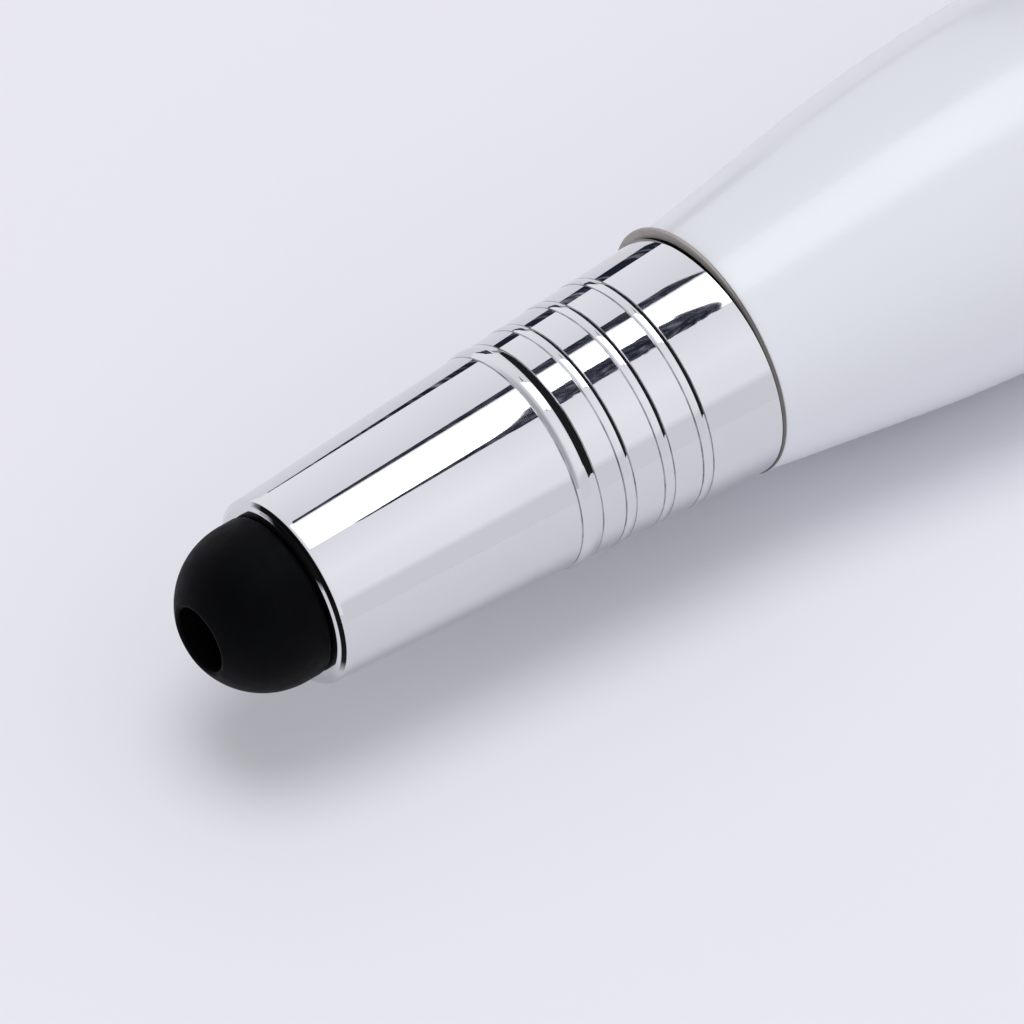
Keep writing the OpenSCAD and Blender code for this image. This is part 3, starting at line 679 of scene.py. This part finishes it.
MIDDLE = (0.3, 0.7)
WAVE_PERIOD = 2 * math.pi / 20
CHROME_COLOR = (0.72, 0.723, 0.733)


def ramp(tree, source, stops):
    """Colour ramp over a source. Each stop holds a place from 0 to 1 and a colour."""
    node = tree.nodes.new("ShaderNodeValToRGB")
    elements = node.color_ramp.elements
    while len(elements) < len(stops):
        elements.new(0.5)
    for element, (place, color) in zip(elements, stops):
        element.position = place
        element.color = (*color, 1)
    tree.links.new(source, node.inputs["Fac"])
    return node.outputs["Color"]


class Shader:
    """A Principled material whose colour, roughness and relief vary by procedural textures."""

    def __init__(self, name, color, rough, metal=0.0):
        self.material = bpy.data.materials.new(name)
        self.material.use_nodes = True
        self.tree = self.material.node_tree
        self.nodes = self.tree.nodes
        self.links = self.tree.links
        self.bsdf = self.nodes["Principled BSDF"]
        self.bsdf.inputs["Base Color"].default_value = (*color, 1)
        self.bsdf.inputs["Roughness"].default_value = rough
        self.bsdf.inputs["Metallic"].default_value = metal
        self.color = color
        self.rough = rough
        self.bumps = []

    def set(self, **sockets):
        """Sets constant sockets, such as Coat_Weight=1."""
        for name, value in sockets.items():
            self.bsdf.inputs[name.replace("_", " ")].default_value = value
        return self

    def place(self, stretch):
        """Object coordinates in millimetres, squeezed along the pen's three axes."""
        coords = self.nodes.new("ShaderNodeTexCoord")
        mapping = self.nodes.new("ShaderNodeMapping")
        mapping.inputs["Scale"].default_value = [s / MM for s in stretch]
        self.links.new(coords.outputs["Object"], mapping.inputs["Vector"])
        return mapping.outputs["Vector"]

    def noise(self, size, detail=3.0, stretch=(1, 1, 1)):
        """Noise whose features are about size millimetres across."""
        node = self.nodes.new("ShaderNodeTexNoise")
        node.inputs["Scale"].default_value = 1 / size
        node.inputs["Detail"].default_value = detail
        self.links.new(self.place(stretch), node.inputs["Vector"])
        return node.outputs["Fac"]

    def rings(self, pitch):
        """Fine turning lines around the pen, pitch millimetres apart."""
        node = self.nodes.new("ShaderNodeTexWave")
        node.wave_type = "BANDS"
        node.bands_direction = "X"
        node.inputs["Scale"].default_value = WAVE_PERIOD / pitch
        node.inputs["Distortion"].default_value = 1.5
        node.inputs["Detail"].default_value = 2
        node.inputs["Detail Scale"].default_value = 2
        self.links.new(self.place((1, 0.05, 0.05)), node.inputs["Vector"])
        return node.outputs["Fac"]

    def cells(self, size):
        """Rounded grains about size millimetres across."""
        node = self.nodes.new("ShaderNodeTexVoronoi")
        node.feature = "SMOOTH_F1"
        node.inputs["Scale"].default_value = 1 / size
        self.links.new(self.place((1, 1, 1)), node.inputs["Vector"])
        return node.outputs["Distance"]

    def towards(self, turn, start, end):
        """Share, from 0 to 1, between two distances out from the pen's axis at an angle about it."""
        coords = self.nodes.new("ShaderNodeTexCoord")
        away = self.nodes.new("ShaderNodeVectorMath")
        away.operation = "SUBTRACT"
        away.inputs[1].default_value = (0, 0, AXIS_Z * MM)
        self.links.new(coords.outputs["Object"], away.inputs[0])
        reach = self.nodes.new("ShaderNodeVectorMath")
        reach.operation = "DOT_PRODUCT"
        t = math.radians(turn)
        reach.inputs[1].default_value = (0, math.cos(t) / MM, math.sin(t) / MM)
        self.links.new(away.outputs["Vector"], reach.inputs[0])
        share = self.nodes.new("ShaderNodeMapRange")
        share.inputs["From Min"].default_value = start
        share.inputs["From Max"].default_value = end
        self.links.new(reach.outputs["Value"], share.inputs["Value"])
        return share.outputs["Result"]

    def spread(self, source, low, high):
        """Maps the middle of a texture onto the range from low to high."""
        node = self.nodes.new("ShaderNodeMapRange")
        node.inputs["From Min"].default_value = MIDDLE[0]
        node.inputs["From Max"].default_value = MIDDLE[1]
        node.inputs["To Min"].default_value = low
        node.inputs["To Max"].default_value = high
        self.links.new(source, node.inputs["Value"])
        return node.outputs["Result"]

    def vary_color(self, source, dark, light=1.0):
        """Varies the colour between two shares of its value."""
        colors = [[min(c * share, 1) for c in self.color] for share in (dark, light)]
        shade = ramp(self.tree, source, list(zip(MIDDLE, colors)))
        self.links.new(shade, self.bsdf.inputs["Base Color"])
        return self

    def vary_rough(self, source, spread):
        """Varies the roughness up and down by spread."""
        value = self.spread(source, max(self.rough - spread, 0.01), self.rough + spread)
        self.links.new(value, self.bsdf.inputs["Roughness"])
        return self

    def relief(self, source, depth):
        """Adds relief about depth millimetres deep."""
        bump = self.nodes.new("ShaderNodeBump")
        bump.inputs["Strength"].default_value = 1
        bump.inputs["Distance"].default_value = depth * MM
        self.links.new(source, bump.inputs["Height"])
        if self.bumps:
            self.links.new(self.bumps[-1].outputs["Normal"], bump.inputs["Normal"])
        self.bumps.append(bump)
        self.links.new(bump.outputs["Normal"], self.bsdf.inputs["Normal"])
        return self


def chrome():
    """Bright plate with a barely wavy polish."""
    s = Shader("chrome_plate", CHROME_COLOR, 0.016, 1)
    s.vary_color(s.noise(6), 0.97)
    s.vary_rough(s.noise(1.5), 0.005)
    return s.relief(s.noise(2.5, 1.0), 0.0006).material


def painted_root_shade():
    """Chrome painted darker in the corners beside the beads: painted shade in the creases."""
    s = Shader("painted_root_shade", (0.3, 0.3, 0.315), 0.2, 1)
    s.vary_color(s.noise(0.8), 0.45, 1.5)
    return s.vary_rough(s.noise(0.3), 0.1).material


def lip_painted_dark(name, turn, start, end):
    """Chrome of the lip's edges with a painted dark reflection, darkening further out towards one side about the
    pen.
    """
    s = Shader(name, CHROME_COLOR, 0.06, 1)
    s.vary_color(s.towards(turn, start, end), 1, 0.012)
    return s.vary_rough(s.noise(0.4), 0.02).material


def gap_painted_shadow():
    """Painted shadow: black on the rim's face inside the gap between the cone and the rim."""
    s = Shader("gap_painted_shadow", (0.004, 0.004, 0.005), 0.6)
    s.set(Specular_IOR_Level=0.1)
    s.vary_color(s.noise(0.3), 0.7, 1.5)
    return s.vary_rough(s.noise(0.3), 0.08).material


def rubber():
    """Matt black rubber with a fine grain."""
    s = Shader("black_rubber", (0.0009, 0.0011, 0.0017), 0.55)
    s.set(Specular_IOR_Level=0.05)
    s.vary_color(s.noise(0.8), 0.7, 1.3)
    s.vary_rough(s.noise(0.5), 0.06)
    return s.relief(s.noise(0.06, 2.0), 0.0015).material


def lacquer():
    """Cool white paint under a satin clear coat."""
    s = Shader("white_lacquer", (0.715, 0.73, 0.785), 0.3)
    s.set(Coat_Weight=0.55, Coat_Roughness=0.13, Specular_IOR_Level=0.3)
    s.vary_color(s.noise(25, 1.0), 0.99, 1.01)
    return s.vary_rough(s.noise(40, 0.0), 0.02).material


def bare_rim():
    """Bare metal of the rim, darker away from its proud side."""
    s = Shader("bare_rim", (0.4, 0.367, 0.352), 0.5, 0.35)
    s.vary_color(s.towards(RIM_LEAN, *RIM_BRIGHT), 0.35, 1.05)
    s.vary_rough(s.noise(0.5), 0.1)
    return s.relief(s.rings(0.06), 0.002).material


def turned(name, color, rough):
    """Metal with fine turning lines around the pen."""
    s = Shader(name, color, rough, 1)
    s.vary_color(s.noise(2.5), 0.82, 1.08)
    s.vary_rough(s.rings(0.25), 0.07)
    return s.relief(s.rings(0.12), 0.0015).material


def drawn(name, color, rough, stretch=(0.08, 1, 1)):
    """Metal with fine scratches along the pen."""
    s = Shader(name, color, rough, 1)
    s.vary_color(s.noise(1.2, 4.0, stretch), 0.85, 1.06)
    s.vary_rough(s.noise(0.3, 3.0, stretch), 0.08)
    return s.relief(s.noise(0.12, 2.0, stretch), 0.001).material


def moulded(name, color, rough, grain=0.12, depth=0.004):
    """Moulded plastic or resin with a fine grain."""
    s = Shader(name, color, rough)
    s.set(Specular_IOR_Level=0.45)
    s.vary_color(s.noise(3), 0.9, 1.06)
    s.vary_rough(s.noise(0.8), 0.06)
    return s.relief(s.cells(grain), depth).material


def solder_mask():
    """Green mask with faint tracks below it."""
    s = Shader("board_green", (0.013, 0.14, 0.06), 0.3)
    s.set(Coat_Weight=0.4, Coat_Roughness=0.12)
    tracks = s.noise(0.9, 0.0, (0.25, 1, 1))
    s.vary_color(tracks, 0.7, 1.5)
    s.vary_rough(s.noise(0.5), 0.06)
    return s.relief(tracks, 0.01).material


def wet_ink():
    """Dark blue ink behind the refill's wall."""
    s = Shader("ink", (0.01, 0.02, 0.15), 0.12)
    s.vary_color(s.noise(2, 2.0, (0.3, 1, 1)), 0.7, 1.2)
    s.vary_rough(s.noise(1), 0.05)
    return s.relief(s.noise(0.8), 0.003).material


MATERIALS = {
    "black_rubber": rubber(),
    "chrome_plate": chrome(),
    "painted_root_shade": painted_root_shade(),
    "lip_bevel_painted_dark": lip_painted_dark("lip_bevel_painted_dark", BEVEL_DARK_TURN, *BEVEL_DARK_REACH),
    "lip_round": lip_painted_dark("lip_round", ROUND_DARK_TURN, *ROUND_DARK_REACH),
    "gap_painted_shadow": gap_painted_shadow(),
    "white_lacquer": lacquer(),
    "bare_rim": bare_rim(),
    "plain_brass": turned("plain_brass", (0.62, 0.46, 0.2), 0.27),
    "nickel_silver": turned("nickel_silver", (0.6, 0.57, 0.5), 0.24),
    "carbide": drawn("carbide", (0.3, 0.3, 0.32), 0.14, (1, 1, 1)),
    "spring_steel": drawn("spring_steel", (0.5, 0.51, 0.53), 0.24),
    "plug_steel": drawn("plug_steel", (0.58, 0.59, 0.62), 0.22),
    "crystal_can": drawn("crystal_can", (0.58, 0.59, 0.61), 0.3),
    "contact_gold": drawn("contact_gold", (0.85, 0.62, 0.22), 0.22),
    "ivory_acetal": moulded("ivory_acetal", (0.78, 0.74, 0.64), 0.42),
    "dark_acetal": moulded("dark_acetal", (0.05, 0.052, 0.06), 0.4),
    "case_plastic": moulded("case_plastic", (0.022, 0.023, 0.026), 0.5, 0.18, 0.01),
    "chip_resin": moulded("chip_resin", (0.02, 0.02, 0.022), 0.55, 0.08),
    "insert_plastic": moulded("insert_plastic", (0.8, 0.8, 0.78), 0.4),
    "ceramic": moulded("ceramic", (0.42, 0.28, 0.14), 0.5, 0.05, 0.002),
    "board_green": solder_mask(),
    "ink": wet_ink(),
}
NODE_SLOT = {row["node"]: row["material_slot"] for row in frame["record"]["subparts"]}
NODE_BODY = {
    node: body for body, nodes in frame["record"]["behaviour"]["bodies"].items() for node in nodes
}


# The pen

def dress(piece, node):
    """Gives a piece the finish and the body of the node that it stands for."""
    slot = NODE_SLOT[node]
    if not piece.data.materials:
        piece.data.materials.append(MATERIALS[slot])
    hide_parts(node)
    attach(piece, NODE_BODY[node])
    return piece


TURNED = {
    "stylus_tip": stylus_tip, "nose_cone": nose_cone, "front_bush": front_bush,
    "lower_barrel": lower_barrel, "centre_band": centre_band, "drive_hub": drive_hub,
    "grip_ring": grip_ring, "upper_barrel": upper_barrel, "finial": finial,
    "pocket_clip": pocket_clip, "return_spring": return_spring,
}
SOFTENED = {
    "case_top": 0.15, "case_bottom": 0.15, "usb_shell": 0.05, "usb_insert": 0.08, "usb_contacts": 0.03,
    "circuit_board": 0.03, "memory_chip": 0.06, "controller_chip": 0.06, "crystal": 0.1,
    "board_passives": 0.05, "tail_plug": 0.08, "retaining_ring": 0.05, "point_guide": 0.08,
    "spring_collar": 0.1, "cross_pin": 0.08, "refill_tube": 0.04, "plunger": 0.06,
}

pieces = {node: dress(make(), node) for node, make in TURNED.items()}
for node, edge in SOFTENED.items():
    pieces[node] = dress(soften(node, edge), node)
for node, part in frame["nodes"].items():
    if node not in pieces:
        for slot in part.material_slots:
            slot.material = MATERIALS[NODE_SLOT[node]]

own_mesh(pieces["return_spring"])


# Studio

# Floor, and the sky that the camera sees past it
FLOOR_COLOR = (0.805, 0.8, 0.87)
FLOOR_REACH = 6000.0
PALE = (0.9, 0.9, 0.95)

# Cards that the chrome mirrors
SOFTBOX_TURN = (66.0, 100.0)
SOFTBOX_X, SOFTBOX_END_X = -45.0, 453.0
SOFTBOX_REACH = 800.0
NEAR_BOX_TURN = (68.0, 101.0)
NEAR_BOX_X, NEAR_BOX_END_X = -9.0, 3.0
NEAR_BOX_REACH = 100.0
SOFTBOX_GLOW = 2.6
SOFTBOX_TINT = (0.97, 0.985, 1.06)
STRIP_REACH = 700.0
STRIP_STEP = 0.09
STRIP_SLANT = 1.2
STRIP_BACK_TORN = 0.1
STRIP_FRONT_TORN = 0.16
STRIP_TEARS = ((2.9, 0.5), (0.9, 0.7), (0.36, 0.6))
STRIP_FLECKS = ((0.52, (0.016, 0.02, 0.034)), (0.8, (0.45, 0.46, 0.54)))
STRIP_BACK = ((155.5, 63, 64.4), (158, 61.6, 64.4), (179, 59.9, 64.4), (188.6, 58.9, 64.4),
              (198, 56.4, 64.4), (213.5, 56.9, 64.4))
STRIP_FRONT = ((151.5, 99.9, 101.4), (171, 97.4, 101.4), (175, 95.4, 101.9), (178, 90.4, 101.9),
               (181.4, 87.4, 101.4), (200.6, 86.4, 100.9))
STRIP_LOW = ((-40.8, 10.4, 12.4), (-29.3, 9.2, 21), (-17.3, 4, 21))
STRIP_FAR = ((-14.5, 8, 16), (30, 8, 16))
STRIP_LOW_Y = 70.0
STRIP_FAR_GLOW = 0.4
BOARD_REACH = 45.0
BOARD_FOOT = -1.0
BOARD_H = 21.5
BOARD_FADE = 5.5
BOARD_SHARE = 0.99
BOARD_TOP_SHARE = 0.94
BOARD_X, BOARD_END_X = -62.0, -24.5
FLAG_X = 30.0
FLAG_R = (45.0, 128.0)
FLAG_TURN = (5.0, 179.0)
FLAG_GLOW = 0.02

# Lamp, and the surround's levels by direction
SUN_TURN = 88.0
SUN_REACH = 1000.0
SUN_SPREAD = 33.0
SUN_SHARE = 0.3
AMBIENT = ((-1, 0.915), (0, 0.705), (1, 0.56))
MIRRORED = 1.09
MIRRORED_TINT = (0.98, 0.975, 1.05)
ALONG = ((-1, 0.7), (-0.85, 0.3), (-0.6, 0.5), (-0.38, 0.45), (-0.12, 0.97), (0.2, 1), (0.5, 1),
         (0.7, 0.55), (0.85, 0.3), (1, 0.7))
ACROSS = ((-1, 0.92), (-0.67, 1), (-0.2, 0.91), (0.5, 0.835), (1, 0.945))

# Camera
CAMERA_AZIMUTH = math.radians(-38.0)
CAMERA_ELEVATION = math.radians(47.0)
CAMERA_AIM = (-56.74, -1.341, 6.432)
CAMERA_DISTANCE = 400.0
CAMERA_LENS = 354.2
SENSOR_W = 36.0
VIEW_RANGE = (0.01, 50.0)


def plain_surface(name, color, rough=0.9):
    """Matt paper with a faint mottle."""
    s = Shader(name, color, rough)
    s.set(Specular_IOR_Level=0.1)
    return s.vary_color(s.noise(40), 0.995, 1.005).material


def stage_mesh(name, corners, faces, material):
    """A piece of the studio, given by its corners in millimetres."""
    mesh = bpy.data.meshes.new(name)
    mesh.from_pydata([Vector(c) * MM for c in corners], [], faces)
    piece = bpy.data.objects.new(name, mesh)
    mesh.materials.append(material)
    bpy.context.scene.collection.objects.link(piece)
    return piece


def mirrored_only(piece):
    """Shows a card in reflections alone."""
    piece.visible_camera = False
    piece.visible_diffuse = False
    piece.visible_transmission = False
    piece.visible_volume_scatter = False
    piece.visible_shadow = False


def around(x, turn, reach):
    """Place at an angle about the pen and a distance from its axis."""
    t = math.radians(turn)
    return (x, reach * math.cos(t), AXIS_Z + reach * math.sin(t))


def lit(name, strength):
    """Cloth or paper that shows by its own light alone."""
    return Shader(name, (0, 0, 0), 1).set(Specular_IOR_Level=0, Emission_Strength=strength)


def glow(name, color, strength):
    """Evenly lit cloth or paper."""
    return lit(name, strength).set(Emission_Color=(*color, 1)).material


def board_paper():
    """Paper that brightens towards its upper edge, where it meets the surround."""
    s = lit("board_paper", 1)
    coords = s.nodes.new("ShaderNodeTexCoord")
    axes = s.nodes.new("ShaderNodeSeparateXYZ")
    s.links.new(coords.outputs["Object"], axes.inputs["Vector"])
    rise = s.nodes.new("ShaderNodeMapRange")
    rise.inputs["From Min"].default_value = (BOARD_H - BOARD_FADE) * MM
    rise.inputs["From Max"].default_value = BOARD_H * MM
    s.links.new(axes.outputs["Z"], rise.inputs["Value"])
    low = [BOARD_SHARE * tint for tint in FLOOR_COLOR]
    top = [MIRRORED * BOARD_TOP_SHARE * tint for tint in MIRRORED_TINT]
    shade = ramp(s.tree, rise.outputs["Result"], ((0, low), (1, top)))
    s.links.new(shade, s.bsdf.inputs["Emission Color"])
    return s.material


def flecked(name):
    """Dark cloth with paler flecks, fine along the pen and long across it."""
    s = lit(name, 1)
    shade = ramp(s.tree, s.noise(0.24, 3.0, (1, 0.005, 0.005)), STRIP_FLECKS)
    s.links.new(shade, s.bsdf.inputs["Emission Color"])
    return s.material


def card(name, start_x, end_x, low_turn, high_turn, reach, material):
    """Flat card beside the pen between two angles about it."""
    corners = [
        around(start_x, low_turn, reach), around(end_x, low_turn, reach),
        around(end_x, high_turn, reach), around(start_x, high_turn, reach),
    ]
    mirrored_only(stage_mesh(name, corners, [(0, 1, 2, 3)], material))


def ribbon(name, corners, material):
    """Band through pairs of corners, which only reflections show."""
    faces = [(2 * i, 2 * i + 1, 2 * i + 3, 2 * i + 2) for i in range(len(corners) // 2 - 1)]
    mirrored_only(stage_mesh(name, corners, faces, material))


def strip(name, reach, knots, ragged, material):
    """Dark strip with torn edges beside the softbox.

    Each knot holds a station and the strip's two angles about the pen.
    """
    corners = []
    for (x0, *turns0), (x1, *turns1) in zip(knots, knots[1:]):
        steps = max(round((x1 - x0) / STRIP_STEP), 1)
        for i in range(steps):
            share = i / steps
            x = x0 + (x1 - x0) * share
            turns = [a + (b - a) * share for a, b in zip(turns0, turns1)]
            wide = turns[1] - turns[0]
            for k, turn in enumerate(turns):
                rough = 0
                for size, level in STRIP_TEARS:
                    rough += level * noise.noise(Vector((x / size, knots[0][1], 9 * k)))
                corners.append(around(x + k * STRIP_SLANT, turn + rough * ragged * wide, reach))
    ribbon(name, corners, material)


def flag(material):
    """Dark arch across the pen, behind the cone, that the rear flanks of the beads mirror."""
    steps = 24
    low, high = FLAG_TURN
    turns = [low + (high - low) * i / steps for i in range(steps + 1)]
    ribbon("flag", [around(FLAG_X, turn, reach) for turn in turns for reach in FLAG_R], material)


def studio():
    """Pale floor, and the cards that the bright metal mirrors."""
    far = FLOOR_REACH
    floor = [(-far, -far, 0), (far, -far, 0), (far, far, 0), (-far, far, 0)]
    stage_mesh("floor", floor, [(0, 1, 2, 3)], plain_surface("floor_paper", FLOOR_COLOR))
    dark = flecked("strip_cloth")
    cloth = glow("softbox_cloth", SOFTBOX_TINT, SOFTBOX_GLOW)
    card("softbox", SOFTBOX_X, SOFTBOX_END_X, *SOFTBOX_TURN, SOFTBOX_REACH, cloth)
    card("near_softbox", NEAR_BOX_X, NEAR_BOX_END_X, *NEAR_BOX_TURN, NEAR_BOX_REACH, cloth)
    strip("strip_back", STRIP_REACH, STRIP_BACK, STRIP_BACK_TORN, dark)
    strip("strip_front", STRIP_REACH, STRIP_FRONT, STRIP_FRONT_TORN, dark)
    grey = glow("grey_cloth", FLOOR_COLOR, STRIP_FAR_GLOW)
    for name, knots, fabric in (("strip_low", STRIP_LOW, dark), ("strip_far", STRIP_FAR, grey)):
        corners = [(x, STRIP_LOW_Y, z) for x, z, top in knots]
        corners += [(x, STRIP_LOW_Y, top) for x, z, top in knots[::-1]]
        mirrored_only(stage_mesh(name, corners, [range(len(corners))], fabric))
    flag(glow("flag_cloth", FLOOR_COLOR, FLAG_GLOW))
    board = [(BOARD_X, -BOARD_REACH, z) for z in (BOARD_FOOT, BOARD_H)]
    board += [(BOARD_END_X, -BOARD_REACH, z) for z in (BOARD_H, BOARD_FOOT)]
    mirrored_only(stage_mesh("board", board, [(0, 1, 2, 3)], board_paper()))


def graded(tree, source, levels, tints=(1, 1, 1)):
    """Shade of the surround over one of its directions, from -1 to 1."""
    spread = tree.nodes.new("ShaderNodeMapRange")
    spread.inputs["From Min"].default_value = -1
    tree.links.new(source, spread.inputs["Value"])
    stops = [((place + 1) / 2, [level * tint for tint in tints]) for place, level in levels]
    return ramp(tree, spread.outputs["Result"], stops)


def background(nodes, color, strength):
    """One even layer of the surround."""
    node = nodes.new("ShaderNodeBackground")
    node.inputs["Color"].default_value = (*color, 1)
    node.inputs["Strength"].default_value = strength
    return node


def light():
    """Soft light from above and behind."""
    lamp = bpy.data.lights.new("soft_light", "SUN")
    lamp.energy = SUN_SHARE * math.pi
    lamp.angle = math.radians(SUN_SPREAD)
    sun = bpy.data.objects.new("soft_light", lamp)
    towards = Vector(around(0, SUN_TURN, SUN_REACH)) - Vector((0, 0, AXIS_Z))
    sun.rotation_euler = towards.to_track_quat("Z", "Y").to_euler()
    sun.visible_glossy = False
    bpy.context.scene.collection.objects.link(sun)


def surround():
    """Pale surround, graded by direction for the light that it gives and for reflections."""
    world = bpy.data.worlds.new("surround")
    bpy.context.scene.world = world
    world.use_nodes = True
    tree = world.node_tree
    nodes, links = tree.nodes, tree.links
    nodes.clear()
    path = nodes.new("ShaderNodeLightPath")
    coords = nodes.new("ShaderNodeTexCoord")
    axes = nodes.new("ShaderNodeSeparateXYZ")
    links.new(coords.outputs["Generated"], axes.inputs["Vector"])
    mirrored = nodes.new("ShaderNodeMix")
    mirrored.data_type = "RGBA"
    mirrored.blend_type = "MULTIPLY"
    mirrored.inputs["Factor"].default_value = 1
    links.new(graded(tree, axes.outputs["X"], ALONG), mirrored.inputs["A"])
    links.new(graded(tree, axes.outputs["Y"], ACROSS, MIRRORED_TINT), mirrored.inputs["B"])
    shader = background(nodes, (1, 1, 1), 1)
    links.new(graded(tree, axes.outputs["Y"], AMBIENT), shader.inputs["Color"])
    glossy = background(nodes, (1, 1, 1), MIRRORED)
    links.new(mirrored.outputs["Result"], glossy.inputs["Color"])
    seen = background(nodes, PALE, 1)
    layers = {"Is Glossy Ray": glossy, "Is Camera Ray": seen, "Is Transmission Ray": seen}
    for ray, layer in layers.items():
        mix = nodes.new("ShaderNodeMixShader")
        links.new(path.outputs[ray], mix.inputs["Fac"])
        links.new(shader.outputs[0], mix.inputs[1])
        links.new(layer.outputs[0], mix.inputs[2])
        shader = mix
    output = nodes.new("ShaderNodeOutputWorld")
    links.new(shader.outputs[0], output.inputs["Surface"])


def camera():
    """Camera above the tip, as in the photograph."""
    back = Vector((
        math.sin(CAMERA_AZIMUTH) * math.cos(CAMERA_ELEVATION),
        -math.cos(CAMERA_AZIMUTH) * math.cos(CAMERA_ELEVATION),
        math.sin(CAMERA_ELEVATION),
    ))
    data = bpy.data.cameras.new("camera")
    data.sensor_width = SENSOR_W
    data.lens = CAMERA_LENS
    data.clip_start, data.clip_end = VIEW_RANGE
    view = bpy.data.objects.new("camera", data)
    view.location = (Vector(CAMERA_AIM) + back * CAMERA_DISTANCE) * MM
    view.rotation_euler = back.to_track_quat("Z", "Y").to_euler()
    bpy.context.scene.collection.objects.link(view)
    bpy.context.scene.camera = view


camera()
studio()
light()
surround()
bpy.context.scene.view_settings.view_transform = "Standard"
